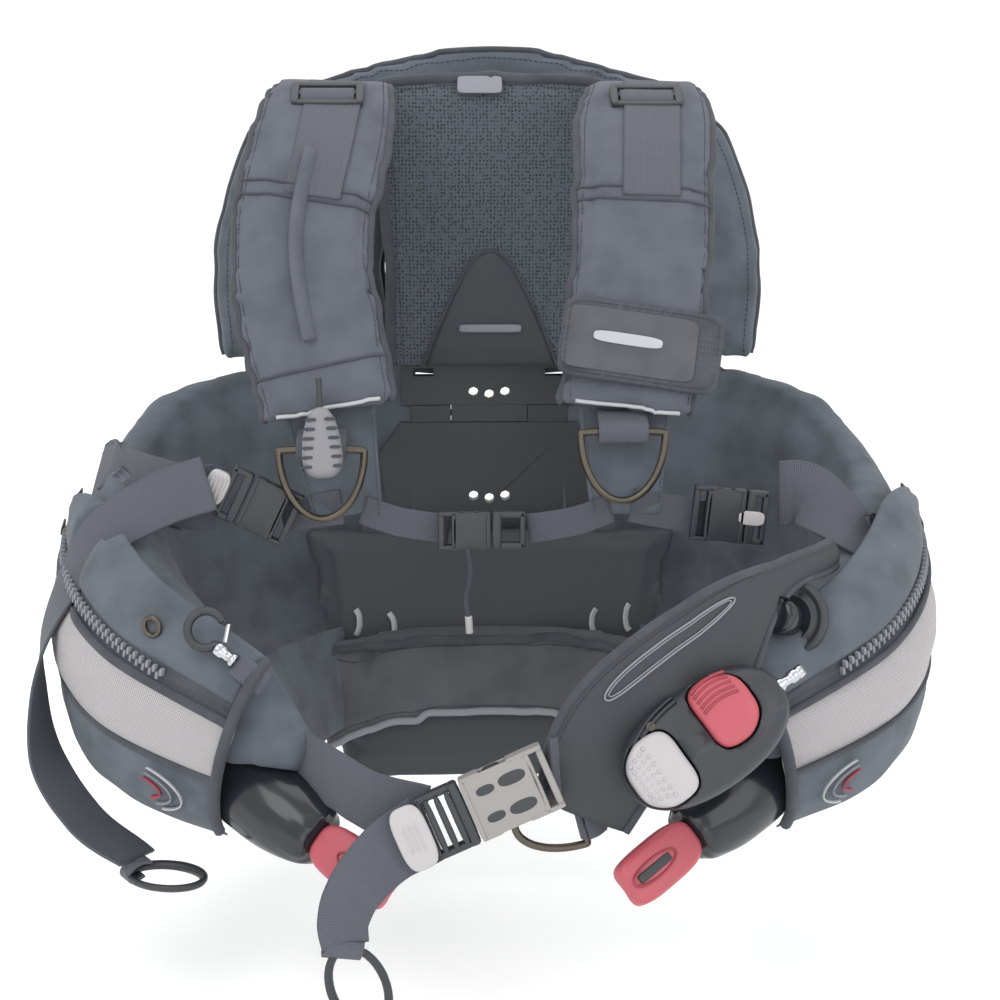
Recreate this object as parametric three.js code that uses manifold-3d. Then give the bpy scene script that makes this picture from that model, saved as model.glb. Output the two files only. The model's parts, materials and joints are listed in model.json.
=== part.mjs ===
// A diver's buoyancy compensator vest, closed at the waist and hanging open at the shoulders.
// Millimetres, +Z up. The wearer faces -Y, so the wearer's right is -X. The origin is on the
// flat rear face of the backplate, where the cylinder rests.
import * as THREE from "three";
import { mergeVertices } from "three/addons/utils/BufferGeometryUtils.js";
import Module from "manifold-3d";

const wasm = await Module();
wasm.setup();

// ---- Driving dimensions ----
const SIDES = { right: -1, left: 1 };
const GAP = 0.4; // kept between pieces that touch
const RUNNING = 0.4; // radial play round a pin that something turns on
const SLIDING = 0.5; // play round a piece that slides
const LOOP_PLAY = 1.4; // play of a ring's bar in its webbing loop

const CYLINDER_RADIUS = 91;
const PLATE = { top: 228, fold: 22, bottom: -76, topHalf: 62, waistHalf: 70, footHalf: 88, thick: 14 };
const HINGE_PIN = { radius: 2.5, length: 128, knuckle: 13, middleHalf: 30 };
const PLATE_HOLE = { radius: 4, pitch: 12.5 };

const BACK_PAD = { half: 88, bottom: 60, top: 286, front: -34, thick: 12 };
const WAIST_PANEL = { half: 146, top: -62, bottom: -262, front: -40, thick: 10, footForward: 34 };
const LUMBAR_PAD = { half: 128, top: -140, bottom: -212, front: -60, thick: 14, wrap: 34 };

const BACK_CELL = { legCentre: 146, legHalf: 66, legBottom: 67, top: 274, topHalf: 31 };
const SIDE_CELL = {
  path: [
    [98, 12, -70],
    [185, 6, -66],
    [254, -70, -75],
    [268, -165, -98],
    [228, -265, -130],
    [130, -338, -168],
  ],
  thick: [22, 28, 40, 46, 48, 36],
  tall: [130, 128, 115, 105, 85, 60],
};
const POCKET = { start: 0.46, end: 0.93, wall: 11, under: -68, over: 72, clear: 2.5 };
const ZIP = { start: 0.56, middle: 0.7, end: 0.86, angle: 28, channel: 8, slider: 13 };

const PAD = { width: 98, thick: 11 };
const PAD_LAYER = { width: 76, endWidth: 48, thick: 5, behind: 9 };
const D_RING = { half: 29, drop: 47, wire: 2.6, keeperHalf: 17 };
const WAIST_RING = { half: 23, drop: 42, wire: 2.6 };
const FINGER_RING = { half: 17, long: 27, wire: 3.2 };

const WEBBING = 2.4; // thickness
const HIP_WEBBING = { width: 48, rightShare: 0.5, leftShare: 0.68 };
const TAIL = { width: 38 };
const WAIST_WEB = { width: 46 };

const SHOULDER_BUCKLE = { socket: 36, clip: 16, width: 38, thick: 10 };
const STERNUM_BUCKLE = { socket: 36, clip: 24, width: 26, thick: 9 };
const WAIST_BUCKLE = { socket: 56, clip: 30, width: 42, thick: 14 };

const POUCH = { halfThick: 25, halfTall: 30, length: 142, handleOffset: 34, play: 2.5 };
const POUCH_HANDLE = { long: 70, wide: 33, thick: 15 };

const HOUSING = { long: 118, wide: 68, back: -13, front: 13 };
const LEVER = { long: 40, wide: 46, thick: 9, root: 7.2, play: 1 };
const LEVER_PIN = { radius: 1.6, length: 50 };
const NIPPLE = { radius: 4.6, length: 27 };
const CONTROL_PANEL = { thick: 7, widths: [60, 86, 86, 60, 34] };

const VALVE = { radius: 25, thick: 6, hub: 8.5, hubHeight: 14, cap: 12, capLength: 20, capWall: 1.6 };
const VALVE_TRAVEL = 5;
const FLAP = { width: 112, height: 56, thick: 5 };
const KNOB = { half: 15.5, halfTop: 8, height: 48, thick: 15, stem: 2, stemLength: 20 };
const BAND = { height: 50, thick: 2.6, centre: 76 };
const CAM = { width: 60, height: 56, thick: 9 };
const HANDLE = { half: 45, bottom: 268, standOff: 22, width: 26, thick: 5 };
const HOOK = { radius: 12, wire: 2.4, barrel: 17 };
const ADJUSTER = { half: 26, slot: 20, share: 0.24, lift: 4 };

// ---- Finishes: colour, roughness, metalness ----
const FINISH = {
  nylon: { color: 0x2c2f36, roughness: 0.85, metalness: 0 },
  mesh: { color: 0x262930, roughness: 0.9, metalness: 0 },
  neoprene: { color: 0x4a4b50, roughness: 0.75, metalness: 0 },
  webbing: { color: 0x2f3238, roughness: 0.8, metalness: 0 },
  blackPlastic: { color: 0x1f2126, roughness: 0.45, metalness: 0 },
  glossBlack: { color: 0x16181c, roughness: 0.2, metalness: 0 },
  rubber: { color: 0x33363c, roughness: 0.6, metalness: 0 },
  redPlastic: { color: 0xc8404c, roughness: 0.45, metalness: 0 },
  greyPlastic: { color: 0xb4b6ba, roughness: 0.5, metalness: 0 },
  steel: { color: 0x8a8378, roughness: 0.35, metalness: 1 },
  chrome: { color: 0xd8dade, roughness: 0.1, metalness: 1 },
};

// ---- Solid toolkit ----
const at = (x, y, z) => new THREE.Vector3(x, y, z);
const mix = THREE.MathUtils.lerp;
const rad = THREE.MathUtils.degToRad;
const ramp = THREE.MathUtils.smoothstep;
const sided = (side, v) => at(v.x * side, v.y, v.z);

function volumeOf(geometry) {
  const p = geometry.attributes.position;
  const index = geometry.index;
  const [a, b, c] = [at(0, 0, 0), at(0, 0, 0), at(0, 0, 0)];
  let total = 0;
  for (let i = 0; i < index.count; i += 3) {
    a.fromBufferAttribute(p, index.getX(i));
    b.fromBufferAttribute(p, index.getX(i + 1));
    c.fromBufferAttribute(p, index.getX(i + 2));
    total += a.dot(b.cross(c));
  }
  return total / 6;
}

// Only positions, with shared points merged and the faces turned outwards.
function closed(geometry) {
  const bare = geometry.clone();
  bare.deleteAttribute("normal");
  bare.deleteAttribute("uv");
  const merged = mergeVertices(bare, 1e-4);
  if (volumeOf(merged) < 0) {
    const index = merged.index;
    for (let i = 0; i < index.count; i += 3) {
      const second = index.getX(i + 1);
      index.setX(i + 1, index.getX(i + 2));
      index.setX(i + 2, second);
    }
  }
  return merged;
}

function toSolid(geometry) {
  const merged = closed(geometry);
  return new wasm.Manifold(
    new wasm.Mesh({
      numProp: 3,
      vertProperties: new Float32Array(merged.attributes.position.array),
      triVerts: new Uint32Array(merged.index.array),
    }),
  );
}

function toGeometry(solid) {
  const mesh = solid.getMesh();
  const geometry = new THREE.BufferGeometry();
  geometry.setAttribute("position", new THREE.BufferAttribute(mesh.vertProperties, 3));
  geometry.setIndex(new THREE.BufferAttribute(mesh.triVerts, 1));
  return geometry;
}

function joined(first, ...others) {
  return toGeometry(others.reduce((body, other) => body.add(toSolid(other)), toSolid(first)));
}

function cut(body, ...tools) {
  return toGeometry(tools.reduce((rest, tool) => rest.subtract(toSolid(tool)), toSolid(body)));
}

// The largest body of a mesh, without the crumbs that a slanting cut leaves at its edges.
function mainBody(geometry) {
  const bodies = toSolid(geometry).decompose();
  bodies.sort((a, b) => b.volume() - a.volume());
  return toGeometry(bodies[0]);
}

// The same mesh with every face moved out by the gap.
function grown(geometry, gap) {
  const mesh = closed(geometry);
  const p = mesh.attributes.position;
  const faces = Array.from({ length: p.count }, () => []);
  const corner = [at(0, 0, 0), at(0, 0, 0), at(0, 0, 0)];
  for (let i = 0; i < mesh.index.count; i += 3) {
    const ids = [0, 1, 2].map((k) => mesh.index.getX(i + k));
    ids.forEach((id, k) => corner[k].fromBufferAttribute(p, id));
    const normal = corner[1].clone().sub(corner[0]).cross(corner[2].clone().sub(corner[0]));
    if (normal.lengthSq() > 0) ids.forEach((id) => faces[id].push(normal.clone().normalize()));
  }
  const sharpest = 0.4;
  faces.forEach((normals, id) => {
    const out = at(0, 0, 0);
    const distinct = normals.filter((n, k) => normals.findIndex((m) => m.dot(n) > 0.999) === k);
    distinct.forEach((n) => out.add(n));
    out.normalize();
    const least = Math.max(sharpest, Math.min(...distinct.map((n) => n.dot(out))));
    const place = at(0, 0, 0).fromBufferAttribute(p, id).addScaledVector(out, gap / least);
    p.setXYZ(id, place.x, place.y, place.z);
  });
  return mesh;
}

// A soft piece cut back so that it stays clear of the pieces that it meets.
const clearOf = (body, pieces, gap = GAP) => cut(body, ...pieces.map((piece) => grown(piece, gap)));

// A box of the given divisions whose points, each coordinate from -1 to 1, go where place says.
function formed(divisions, place) {
  const geometry = new THREE.BoxGeometry(2, 2, 2, ...divisions);
  const p = geometry.attributes.position;
  for (let i = 0; i < p.count; i += 1) {
    const moved = place(p.getX(i), p.getY(i), p.getZ(i));
    p.setXYZ(i, moved.x, moved.y, moved.z);
  }
  return closed(geometry);
}

// Square coordinates pressed into a disc.
const disc = (b, c) => [b * Math.sqrt(1 - (c * c) / 2), c * Math.sqrt(1 - (b * b) / 2)];

const asFunction = (value) => (typeof value === "function" ? value : () => value);

// A strap that follows a path. At each share of its length, across gives the direction of its
// width, or facing gives the way that its flat side looks.
function strap({ path, width, thick, across, facing, steps = 10, lanes = 1 }) {
  const curve = new THREE.CatmullRomCurve3(path);
  const widthAt = asFunction(width);
  const acrossAt = asFunction(across);
  const facingAt = asFunction(facing);
  return formed([steps, lanes, 1], (a, b, c) => {
    const t = (a + 1) / 2;
    const along = curve.getTangentAt(t);
    const wide = across ? acrossAt(t).clone() : facingAt(t).clone().cross(along);
    wide.addScaledVector(along, -wide.dot(along)).normalize();
    const out = at(0, 0, 0).crossVectors(wide, along);
    return curve
      .getPointAt(t)
      .addScaledVector(wide, (b * widthAt(t)) / 2)
      .addScaledVector(out, (c * thick) / 2);
  });
}

// A closed loop of wire in the XY plane round the outline that angle gives.
function wireLoop(outline, wire, steps = 22, sides = 6) {
  const unit = 0.3;
  const geometry = new THREE.TorusGeometry(1, unit, sides, steps);
  const p = geometry.attributes.position;
  const nudge = 1e-3;
  for (let i = 0; i < p.count; i += 1) {
    const [x, y, z] = [p.getX(i), p.getY(i), p.getZ(i)];
    const angle = Math.atan2(y, x);
    const centre = outline(angle);
    const ahead = outline(angle + nudge).sub(centre).normalize();
    const reach = (Math.hypot(x, y) - 1) / unit;
    const place = at(centre.x + ahead.y * reach * wire, centre.y - ahead.x * reach * wire, (z / unit) * wire);
    p.setXYZ(i, place.x, place.y, place.z);
  }
  return closed(geometry);
}

// A round bar between two points.
function rod(from, to, radius, sides = 12) {
  const span = to.clone().sub(from);
  const geometry = new THREE.CylinderGeometry(radius, radius, span.length(), sides);
  geometry.applyQuaternion(new THREE.Quaternion().setFromUnitVectors(at(0, 1, 0), span.clone().normalize()));
  const middle = from.clone().add(to).multiplyScalar(0.5);
  return geometry.translate(middle.x, middle.y, middle.z);
}

const block = (low, high) =>
  new THREE.BoxGeometry(high[0] - low[0], high[1] - low[1], high[2] - low[2]).translate(
    (low[0] + high[0]) / 2,
    (low[1] + high[1]) / 2,
    (low[2] + high[2]) / 2,
  );

// A place for a piece of hardware: its own X lies along, its own Z faces out.
function frameAt(origin, along, facing) {
  const x = along.clone().normalize();
  const z = facing.clone().addScaledVector(x, -facing.dot(x)).normalize();
  const y = at(0, 0, 0).crossVectors(z, x);
  return new THREE.Matrix4().makeBasis(x, y, z).setPosition(origin);
}

const placed = (geometry, frame) => closed(geometry).applyMatrix4(frame);

// ---- Assembly ----
const vest = new THREE.Group();
vest.name = "buoyancy_vest";

function hardwareGroup(frame) {
  const group = new THREE.Group();
  group.applyMatrix4(frame);
  vest.add(group);
  return group;
}

function addPiece(name, geometry, finish, parent = vest) {
  const mesh = new THREE.Mesh(closed(geometry), new THREE.MeshStandardMaterial(FINISH[finish]));
  mesh.name = name;
  parent.add(mesh);
  return mesh;
}

const FRONT = at(0, -1, 0);
const UP = at(0, 0, 1);

// ---- Backplate: two halves that fold on a pin ----
function plateHalf(outline, depth) {
  const shape = new THREE.Shape(outline.map(([x, z]) => new THREE.Vector2(x, z)));
  const plate = new THREE.ExtrudeGeometry(shape, { depth, bevelEnabled: false });
  return plate.rotateX(Math.PI / 2);
}

const pinY = -PLATE.thick / 2;

function hingePin(radius, length) {
  return rod(at(-length / 2, pinY, PLATE.fold), at(length / 2, pinY, PLATE.fold), radius);
}

// A knuckle round the pin, reaching up or down into the half that it belongs to.
function knuckle(from, to, reach) {
  const half = HINGE_PIN.knuckle / 2;
  const root = half + 3;
  const [low, high] = reach > 0 ? [-half, root] : [-root, half];
  return block([from, pinY - half, PLATE.fold + low], [to, pinY + half, PLATE.fold + high]);
}

function plateHoles(z) {
  return [-1, 0, 1].map((place) => {
    const x = place * PLATE_HOLE.pitch;
    const height = place === 0 ? z - PLATE_HOLE.radius / 2 : z;
    return rod(at(x, 1, height), at(x, -PLATE.thick - 1, height), PLATE_HOLE.radius, 8);
  });
}

function bandPath(radius) {
  return new THREE.CylinderGeometry(radius, radius, BAND.height, 36)
    .rotateX(Math.PI / 2)
    .translate(0, CYLINDER_RADIUS + 1, BAND.centre);
}

// The webbing band round the cylinder, let into a groove in the plate.
function tankBand() {
  const bore = new THREE.CylinderGeometry(CYLINDER_RADIUS, CYLINDER_RADIUS, BAND.height + 2, 36)
    .rotateX(Math.PI / 2)
    .translate(0, CYLINDER_RADIUS + 1, BAND.centre);
  const ring = cut(bandPath(CYLINDER_RADIUS + BAND.thick), bore);
  const buckleGap = block([-CAM.width / 2, CYLINDER_RADIUS * 2 - 8, 0], [CAM.width / 2, CYLINDER_RADIUS * 2 + 12, 200]);
  return cut(ring, buckleGap);
}

function buildBackplate() {
  const half = HINGE_PIN.knuckle / 2;
  const edge = half + GAP;
  const grooveDepth = BAND.thick + 1;
  const upperOutline = [
    [-PLATE.topHalf + 14, PLATE.top],
    [PLATE.topHalf - 14, PLATE.top],
    [PLATE.topHalf, PLATE.top - 14],
    [PLATE.waistHalf, 60],
    [PLATE.waistHalf, PLATE.fold + edge],
    [-PLATE.waistHalf, PLATE.fold + edge],
    [-PLATE.waistHalf, 60],
    [-PLATE.topHalf, PLATE.top - 14],
  ];
  const windows = [-1, 1].flatMap((side) => [
    block([side * 32 - 14, -20, 118], [side * 32 + 14, 1, 190]),
    block([side * 52 - 8, -20, 52], [side * 52 + 8, 1, 58]),
  ]);
  const groove = block(
    [-30, -grooveDepth - GAP, BAND.centre - BAND.height / 2 - GAP],
    [30, 1, BAND.centre + BAND.height / 2 + GAP],
  );
  const upper = cut(
    joined(plateHalf(upperOutline, PLATE.thick), knuckle(-HINGE_PIN.middleHalf, HINGE_PIN.middleHalf, 1)),
    hingePin(HINGE_PIN.radius + RUNNING, 400),
    groove,
    ...windows,
    ...plateHoles(39),
  );
  const lowerOutline = [
    [-PLATE.waistHalf, PLATE.fold - edge],
    [PLATE.waistHalf, PLATE.fold - edge],
    [PLATE.footHalf, -10],
    [PLATE.footHalf - 10, PLATE.bottom],
    [-PLATE.footHalf + 10, PLATE.bottom],
    [-PLATE.footHalf, -10],
  ];
  const side = HINGE_PIN.middleHalf + GAP;
  const end = HINGE_PIN.length / 2 - 2;
  const lower = cut(
    joined(plateHalf(lowerOutline, PLATE.thick), knuckle(-end, -side, -1), knuckle(side, end, -1)),
    hingePin(HINGE_PIN.radius + RUNNING, 400),
    block([-HINGE_PIN.middleHalf - GAP, -20, PLATE.fold - edge], [HINGE_PIN.middleHalf + GAP, 20, 60]),
    ...plateHoles(-44),
  );
  addPiece("backplate_upper", upper, "blackPlastic");
  addPiece("backplate_lower", lower, "blackPlastic");
  addPiece("backplate_hinge_pin", hingePin(HINGE_PIN.radius, HINGE_PIN.length), "steel");
}

// ---- Cylinder band with its cam buckle, and the carry handle ----
const CAM_FRAME = frameAt(at(0, CYLINDER_RADIUS * 2 + 1 + CAM.thick / 2, BAND.centre), at(1, 0, 0), at(0, 1, 0));

function camPivot(radius, length) {
  return rod(at(-CAM.width / 2 + 8, -length / 2, 1), at(-CAM.width / 2 + 8, length / 2, 1), radius);
}

function buildTankBand() {
  addPiece("tank_band", tankBand(), "webbing");
  const group = hardwareGroup(CAM_FRAME);
  const [w, h, t] = [CAM.width / 2 - GAP, CAM.height / 2, CAM.thick / 2];
  const frame = cut(
    block([-w, -h, -t], [w, h, t]),
    block([-w + 3, -h + 5, -t + 3], [w - 6, h - 5, t + 1]),
    camPivot(2 + RUNNING, CAM.height - 4),
    block([-w - 1, -h + 5, 0], [-w + 4, h - 5, t + 1]),
  );
  addPiece("cam_buckle_frame", frame, "blackPlastic", group);
  const lever = joined(
    block([-w + 6.6, -h + 6, -0.5], [w - 7, h - 6, t - 1]),
    camPivot(2, CAM.height - 5),
  );
  addPiece("cam_lever", cut(lever, block([w - 20, -8, -2], [w - 12, 8, t])), "blackPlastic", group);
}

// A webbing loop that stands off the back of the air cell.
function carryHandle() {
  const { half, bottom, standOff, width, thick } = HANDLE;
  const path = [
    at(-half, 2, bottom),
    at(-half * 0.7, standOff * 0.75, bottom + 3),
    at(0, standOff, bottom + 5),
    at(half * 0.7, standOff * 0.75, bottom + 3),
    at(half, 2, bottom),
  ];
  return strap({ path, width, thick, across: at(0, 0.2, 1), steps: 12 });
}

// ---- Pads against the wearer's back ----
function backPad() {
  const { half, bottom, top, front, thick } = BACK_PAD;
  return formed([4, 1, 6], (a, b, c) => {
    const share = (c + 1) / 2;
    const wide = mix(half - 10, half, share);
    const lean = -6 * ramp(share, 0.75, 1);
    return at(a * wide, front + thick / 2 + lean + (b * thick) / 2, mix(bottom, top, share) - 6 * a * a * share);
  });
}

function waistPanel() {
  const { half, top, bottom, front, thick, footForward } = WAIST_PANEL;
  return formed([8, 1, 6], (a, b, c) => {
    const share = (c + 1) / 2;
    const forward = footForward * (1 - share) ** 2 + 8 * a * a;
    const reach = half * mix(0.8, 1, share);
    return at(a * reach, front + thick / 2 - forward + (b * thick) / 2, mix(bottom, top, share));
  });
}

function lumbarPad() {
  const { half, top, bottom, front, thick, wrap } = LUMBAR_PAD;
  return formed([10, 1, 3], (a, b, c) => {
    const share = (c + 1) / 2;
    const forward = wrap * a ** 4 + 10 * (1 - share);
    const arch = -16 * a * a * (1 - share) - 6 * a * a * share;
    return at(a * half, front + thick / 2 - forward + (b * thick) / 2, mix(bottom, top, share) + arch);
  });
}

// ---- Air cells ----
// The arch of the back cell: legs beside the cylinder, and a thin bridge across the top.
function backCell() {
  const { legCentre, legHalf, legBottom, top, topHalf } = BACK_CELL;
  const half = [
    at(legCentre, 0, legBottom),
    at(legCentre + 2, 0, 150),
    at(118, 0, 228),
    at(60, 0, top - 8),
    at(0, 0, top),
  ];
  const mirrored = half.slice(0, -1).map((v) => sided(-1, v));
  const arch = new THREE.CatmullRomCurve3([...mirrored, ...half.reverse()]);
  return formed([16, 2, 2], (a, b, c) => {
    const t = (a + 1) / 2;
    const centre = arch.getPointAt(t);
    const along = arch.getTangentAt(t);
    const bridge = ramp(centre.z, 205, top);
    const inward = at(along.z, 0, -along.x);
    const reach = mix(legHalf, topHalf, bridge);
    const depth = mix(23, 7.5, bridge) * mix(0.55, 1, 1 - b * b);
    return at(centre.x + inward.x * b * reach, mix(10, -9, bridge) + c * depth, centre.z + inward.z * b * reach);
  });
}

const cellPath = new THREE.CatmullRomCurve3(SIDE_CELL.path.map((v) => at(...v)));
const cellGirth = new THREE.CatmullRomCurve3(
  SIDE_CELL.thick.map((thick, i) => at(thick, SIDE_CELL.tall[i], i * 100)),
);

// The side cell's section at a share of its length: its centre, directions and half sizes.
function cellSection(t) {
  const centre = cellPath.getPoint(t);
  const along = cellPath.getTangent(t);
  const out = at(-along.y, along.x, 0).normalize();
  const up = at(0, 0, 0).crossVectors(along, out).multiplyScalar(-1);
  if (up.z < 0) up.negate();
  const girth = cellGirth.getPoint(t);
  return { centre, along, out, up, thick: girth.x, tall: girth.y };
}

// A point on the side cell's outer envelope, or inset below it; angle 0 faces out, 90 up.
function cellPoint(t, angle, inset = 0) {
  const { centre, out, up, thick, tall } = cellSection(t);
  return centre
    .clone()
    .addScaledVector(out, (thick - inset) * Math.cos(rad(angle)))
    .addScaledVector(up, (tall - inset) * Math.sin(rad(angle)));
}

function sideCell(side) {
  return formed([14, 3, 4], (a, b, c) => {
    const t = (a + 1) / 2;
    const { centre, out, up, thick, tall } = cellSection(t);
    const covered = ramp(t, POCKET.start - 0.1, POCKET.start - 0.01);
    const inset = covered * (POCKET.wall + POCKET.clear);
    const rounding = mix(0.55, 1, Math.sqrt(ramp(1 - Math.abs(a), 0, 0.16)));
    const [p, q] = disc(b, c);
    const place = centre
      .clone()
      .addScaledVector(out, p * (thick - inset) * rounding)
      .addScaledVector(up, q * (tall - inset) * rounding);
    return sided(side, place);
  });
}

function cargoPocket(side) {
  return formed([8, 7, 1], (a, b, c) => {
    const t = mix(POCKET.start, POCKET.end, (a + 1) / 2);
    const angle = mix(POCKET.under, POCKET.over, (b + 1) / 2);
    const inset = ((1 - c) / 2) * POCKET.wall;
    return sided(side, cellPoint(t, angle, inset));
  });
}

// ---- Zip: the circle through three points of the pocket, for the channel and the slider ----
function circleThrough(p, q, r) {
  const a = q.clone().sub(p);
  const b = r.clone().sub(p);
  const normal = a.clone().cross(b);
  const toCentre = normal.clone().cross(a).multiplyScalar(b.lengthSq());
  toCentre.add(b.clone().cross(normal).multiplyScalar(a.lengthSq()));
  toCentre.divideScalar(2 * normal.lengthSq());
  const centre = p.clone().add(toCentre);
  return { centre, normal: normal.normalize(), radius: toCentre.length() };
}

function zipArc(side) {
  const points = [ZIP.start, ZIP.middle, ZIP.end].map((t) => sided(side, cellPoint(t, ZIP.angle, 1)));
  const circle = circleThrough(...points);
  const first = points[0].clone().sub(circle.centre).normalize();
  const last = points[2].clone().sub(circle.centre).normalize();
  return { ...circle, first, last, sweep: first.angleTo(last) };
}

function zipPoint(arc, angle) {
  return arc.first
    .clone()
    .applyAxisAngle(arc.normal, angle)
    .multiplyScalar(arc.radius)
    .add(arc.centre);
}

function zipChannel(arc) {
  const margin = (ZIP.slider / 2 + 2) / arc.radius;
  return formed([8, 1, 1], (a, b, c) => {
    const angle = mix(-margin, arc.sweep + margin, (a + 1) / 2);
    const outwards = arc.first.clone().applyAxisAngle(arc.normal, angle);
    return zipPoint(arc, angle)
      .addScaledVector(outwards, b * ZIP.channel)
      .addScaledVector(arc.normal, c * ZIP.channel);
  });
}

function zipSlider(arc) {
  const face = arc.first.clone();
  const along = arc.normal.clone().cross(face);
  const frame = frameAt(zipPoint(arc, 0), along, face);
  const body = block([-ZIP.slider / 2, -5, -3.4], [ZIP.slider / 2, 5, 3.4]);
  return placed(body, frame);
}

// ---- Shoulder straps ----
const PAD_POINTS = {
  right: [at(-114, -46, 262), at(-116, -92, 272), at(-124, -150, 232), at(-136, -192, 160), at(-116, -226, 50)],
  left: [at(112, -46, 262), at(112, -92, 270), at(106, -150, 232), at(101, -192, 160), at(88, -226, 50)],
};
const LAYER_END = { right: at(-104, -228, -20), left: at(88, -228, -20) };

function shoulderPad(name) {
  const width = (t) => mix(74, PAD.width, ramp(t, 0, 0.35)) - 8 * ramp(t, 0.8, 1);
  return strap({ path: PAD_POINTS[name], width, thick: PAD.thick, across: at(1, 0, 0), steps: 14, lanes: 2 });
}

// The layer under the pad, its D-ring keeper, and the webbing that runs on to the buckles.
function shoulderWebbing(name, ringFrame) {
  const keeperDepth = 19;
  const side = SIDES[name];
  const end = LAYER_END[name];
  const lower = PAD_POINTS[name][4].clone().add(at(0, PAD_LAYER.behind, 0));
  const upper = at(lower.x + side * 4, lower.y + 20, 110);
  const layer = strap({
    path: [upper, lower, end],
    width: (t) => mix(PAD_LAYER.width, PAD_LAYER.endWidth, t),
    thick: PAD_LAYER.thick,
    across: at(1, 0, 0),
    steps: 6,
  });
  const keeper = block(
    [-D_RING.keeperHalf, -6.5, -keeperDepth],
    [D_RING.keeperHalf, 6.5, D_RING.wire + 3],
  );
  const bore = rod(at(-60, 0.6, 0), at(60, 0.6, 0), D_RING.wire + LOOP_PLAY);
  const outer = { right: at(-150, -221, -20), left: at(152, -222, -26) }[name];
  const toBuckle = strap({
    path: [end.clone().add(at(side * 4, 2, 6)), outer],
    width: 24,
    thick: WEBBING,
    across: UP,
    steps: 2,
  });
  const inner = { right: at(-34, -235, -29), left: at(20, -235, -29) }[name];
  const toSternum = strap({
    path: [end.clone().add(at(-side * 10, 0, 4)), at((end.x + inner.x) / 2, -232, -24), inner],
    width: 20,
    thick: WEBBING,
    across: UP,
    steps: 4,
  });
  return cut(joined(layer, placed(keeper, ringFrame), toBuckle, toSternum), placed(bore, ringFrame));
}

const RING_FRAME = {
  right: frameAt(at(-121, -240, 27), at(1, 0, 0), FRONT),
  left: frameAt(at(85, -238, 38), at(1, 0, 0), FRONT),
};

// A D-ring lies in its own XY plane with its straight bar along X and its bow below.
function dRing({ half, drop, wire }) {
  const outline = (angle) => {
    const lift = Math.sin(angle) > 0 ? 1.2 : drop;
    return at(half * Math.cos(angle), lift * Math.sin(angle), 0);
  };
  return wireLoop(outline, wire);
}

function fingerRing() {
  const outline = (angle) => at(FINGER_RING.half * Math.cos(angle), FINGER_RING.long * Math.sin(angle), 0);
  return wireLoop(outline, FINGER_RING.wire, 20);
}

// ---- Side-release buckle: the clip slides out of the socket along its own +X ----
function socketPart({ socket, width, thick }) {
  const [w, t] = [width / 2, thick / 2];
  const wall = 2;
  return cut(
    block([-socket, -w, -t], [0, w, t]),
    block([-socket + 12, -w + wall, -t + wall], [1, w - wall, t - wall]),
    block([-socket + 3.5, -w + 4, -t - 1], [-socket + 8.5, w - 4, t + 1]),
    block([-socket * 0.55, -w - 1, -t + wall], [-socket * 0.25, w + 1, t - wall]),
  );
}

function clipPart({ socket, clip, width, thick }) {
  const [w, t] = [width / 2, thick / 2];
  const arm = w - 2 - SLIDING;
  const reach = -socket + 15;
  const bar = t - 2 - SLIDING;
  const base = cut(
    block([GAP, -w, -t], [clip, w, t]),
    block([clip - 8.5, -w + 4, -t - 1], [clip - 3.5, w - 4, t + 1]),
  );
  return joined(
    base,
    block([reach, arm - 5, -bar], [GAP + 1, arm, bar]),
    block([reach, -arm, -bar], [GAP + 1, -arm + 5, bar]),
    block([reach * 0.6, -2.5, -bar], [GAP + 1, 2.5, bar]),
  );
}

function addBuckle(name, size, frame, finish) {
  const group = hardwareGroup(frame);
  addPiece(name + "_socket", socketPart(size), finish.socket, group);
  addPiece(name + "_clip", clipPart(size), finish.clip, group);
}

const BUCKLE_FRAME = {
  shoulder_right: frameAt(at(-174, -230.5, -8), at(-0.88, 0, 0.42), FRONT),
  shoulder_left: frameAt(at(170, -230.5, -22), at(1, 0, -0.1), FRONT),
  sternum: frameAt(at(-6, -242, -28), at(1, 0, 0), FRONT),
  waist: frameAt(at(-24, -405, -174), at(-0.918, -0.058, -0.392), at(0, -1, 0.1)),
};

// ---- Webbing over the hips, the free tails and the waist straps ----
// From the shoulder buckle, over the top of the side cell and down its outer face.
function hipWebbing(side) {
  const share = side > 0 ? HIP_WEBBING.leftShare : HIP_WEBBING.rightShare;
  const over = [72, 58, 44].map((angle, i) => cellPoint(share - 0.02 * i, angle, -WEBBING));
  const path = [at(196, -220, -8), at(222, -218, -6), ...over];
  const outwards = at(0.9, -0.25, 0.35);
  return strap({
    path: path.map((place) => sided(side, place)),
    width: HIP_WEBBING.width,
    thick: WEBBING,
    facing: (t) => sided(side, FRONT.clone().lerp(outwards, t)),
    steps: 10,
  });
}

function shoulderTail() {
  return strap({
    path: [
      at(-198, -243, 6),
      at(-232, -240, -6),
      at(-278, -232, -36),
      at(-309, -226, -84),
      at(-322, -228, -130),
      at(-316, -240, -186),
      at(-286, -264, -226),
      at(-248, -286, -246),
    ],
    width: TAIL.width,
    thick: WEBBING,
    across: (t) => at(0.15 * t, 0.25 + 0.75 * t, 1.1 - t),
    steps: 18,
  });
}

const WAIST_CLIP_END = at(WAIST_BUCKLE.clip, 0, 0).applyMatrix4(BUCKLE_FRAME.waist);

function waistTail() {
  return strap({
    path: [
      WAIST_CLIP_END.clone().add(at(-2, -9, 2)),
      at(-78, -420, -198),
      at(-96, -422, -220),
      at(-103, -420, -240),
      at(-102, -416, -257),
    ],
    width: (t) => mix(WAIST_WEB.width - 2, 30, t),
    thick: WEBBING,
    facing: (t) => at(0.25 * t, -1, 0.3 * (1 - t)),
    steps: 8,
  });
}

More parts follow.
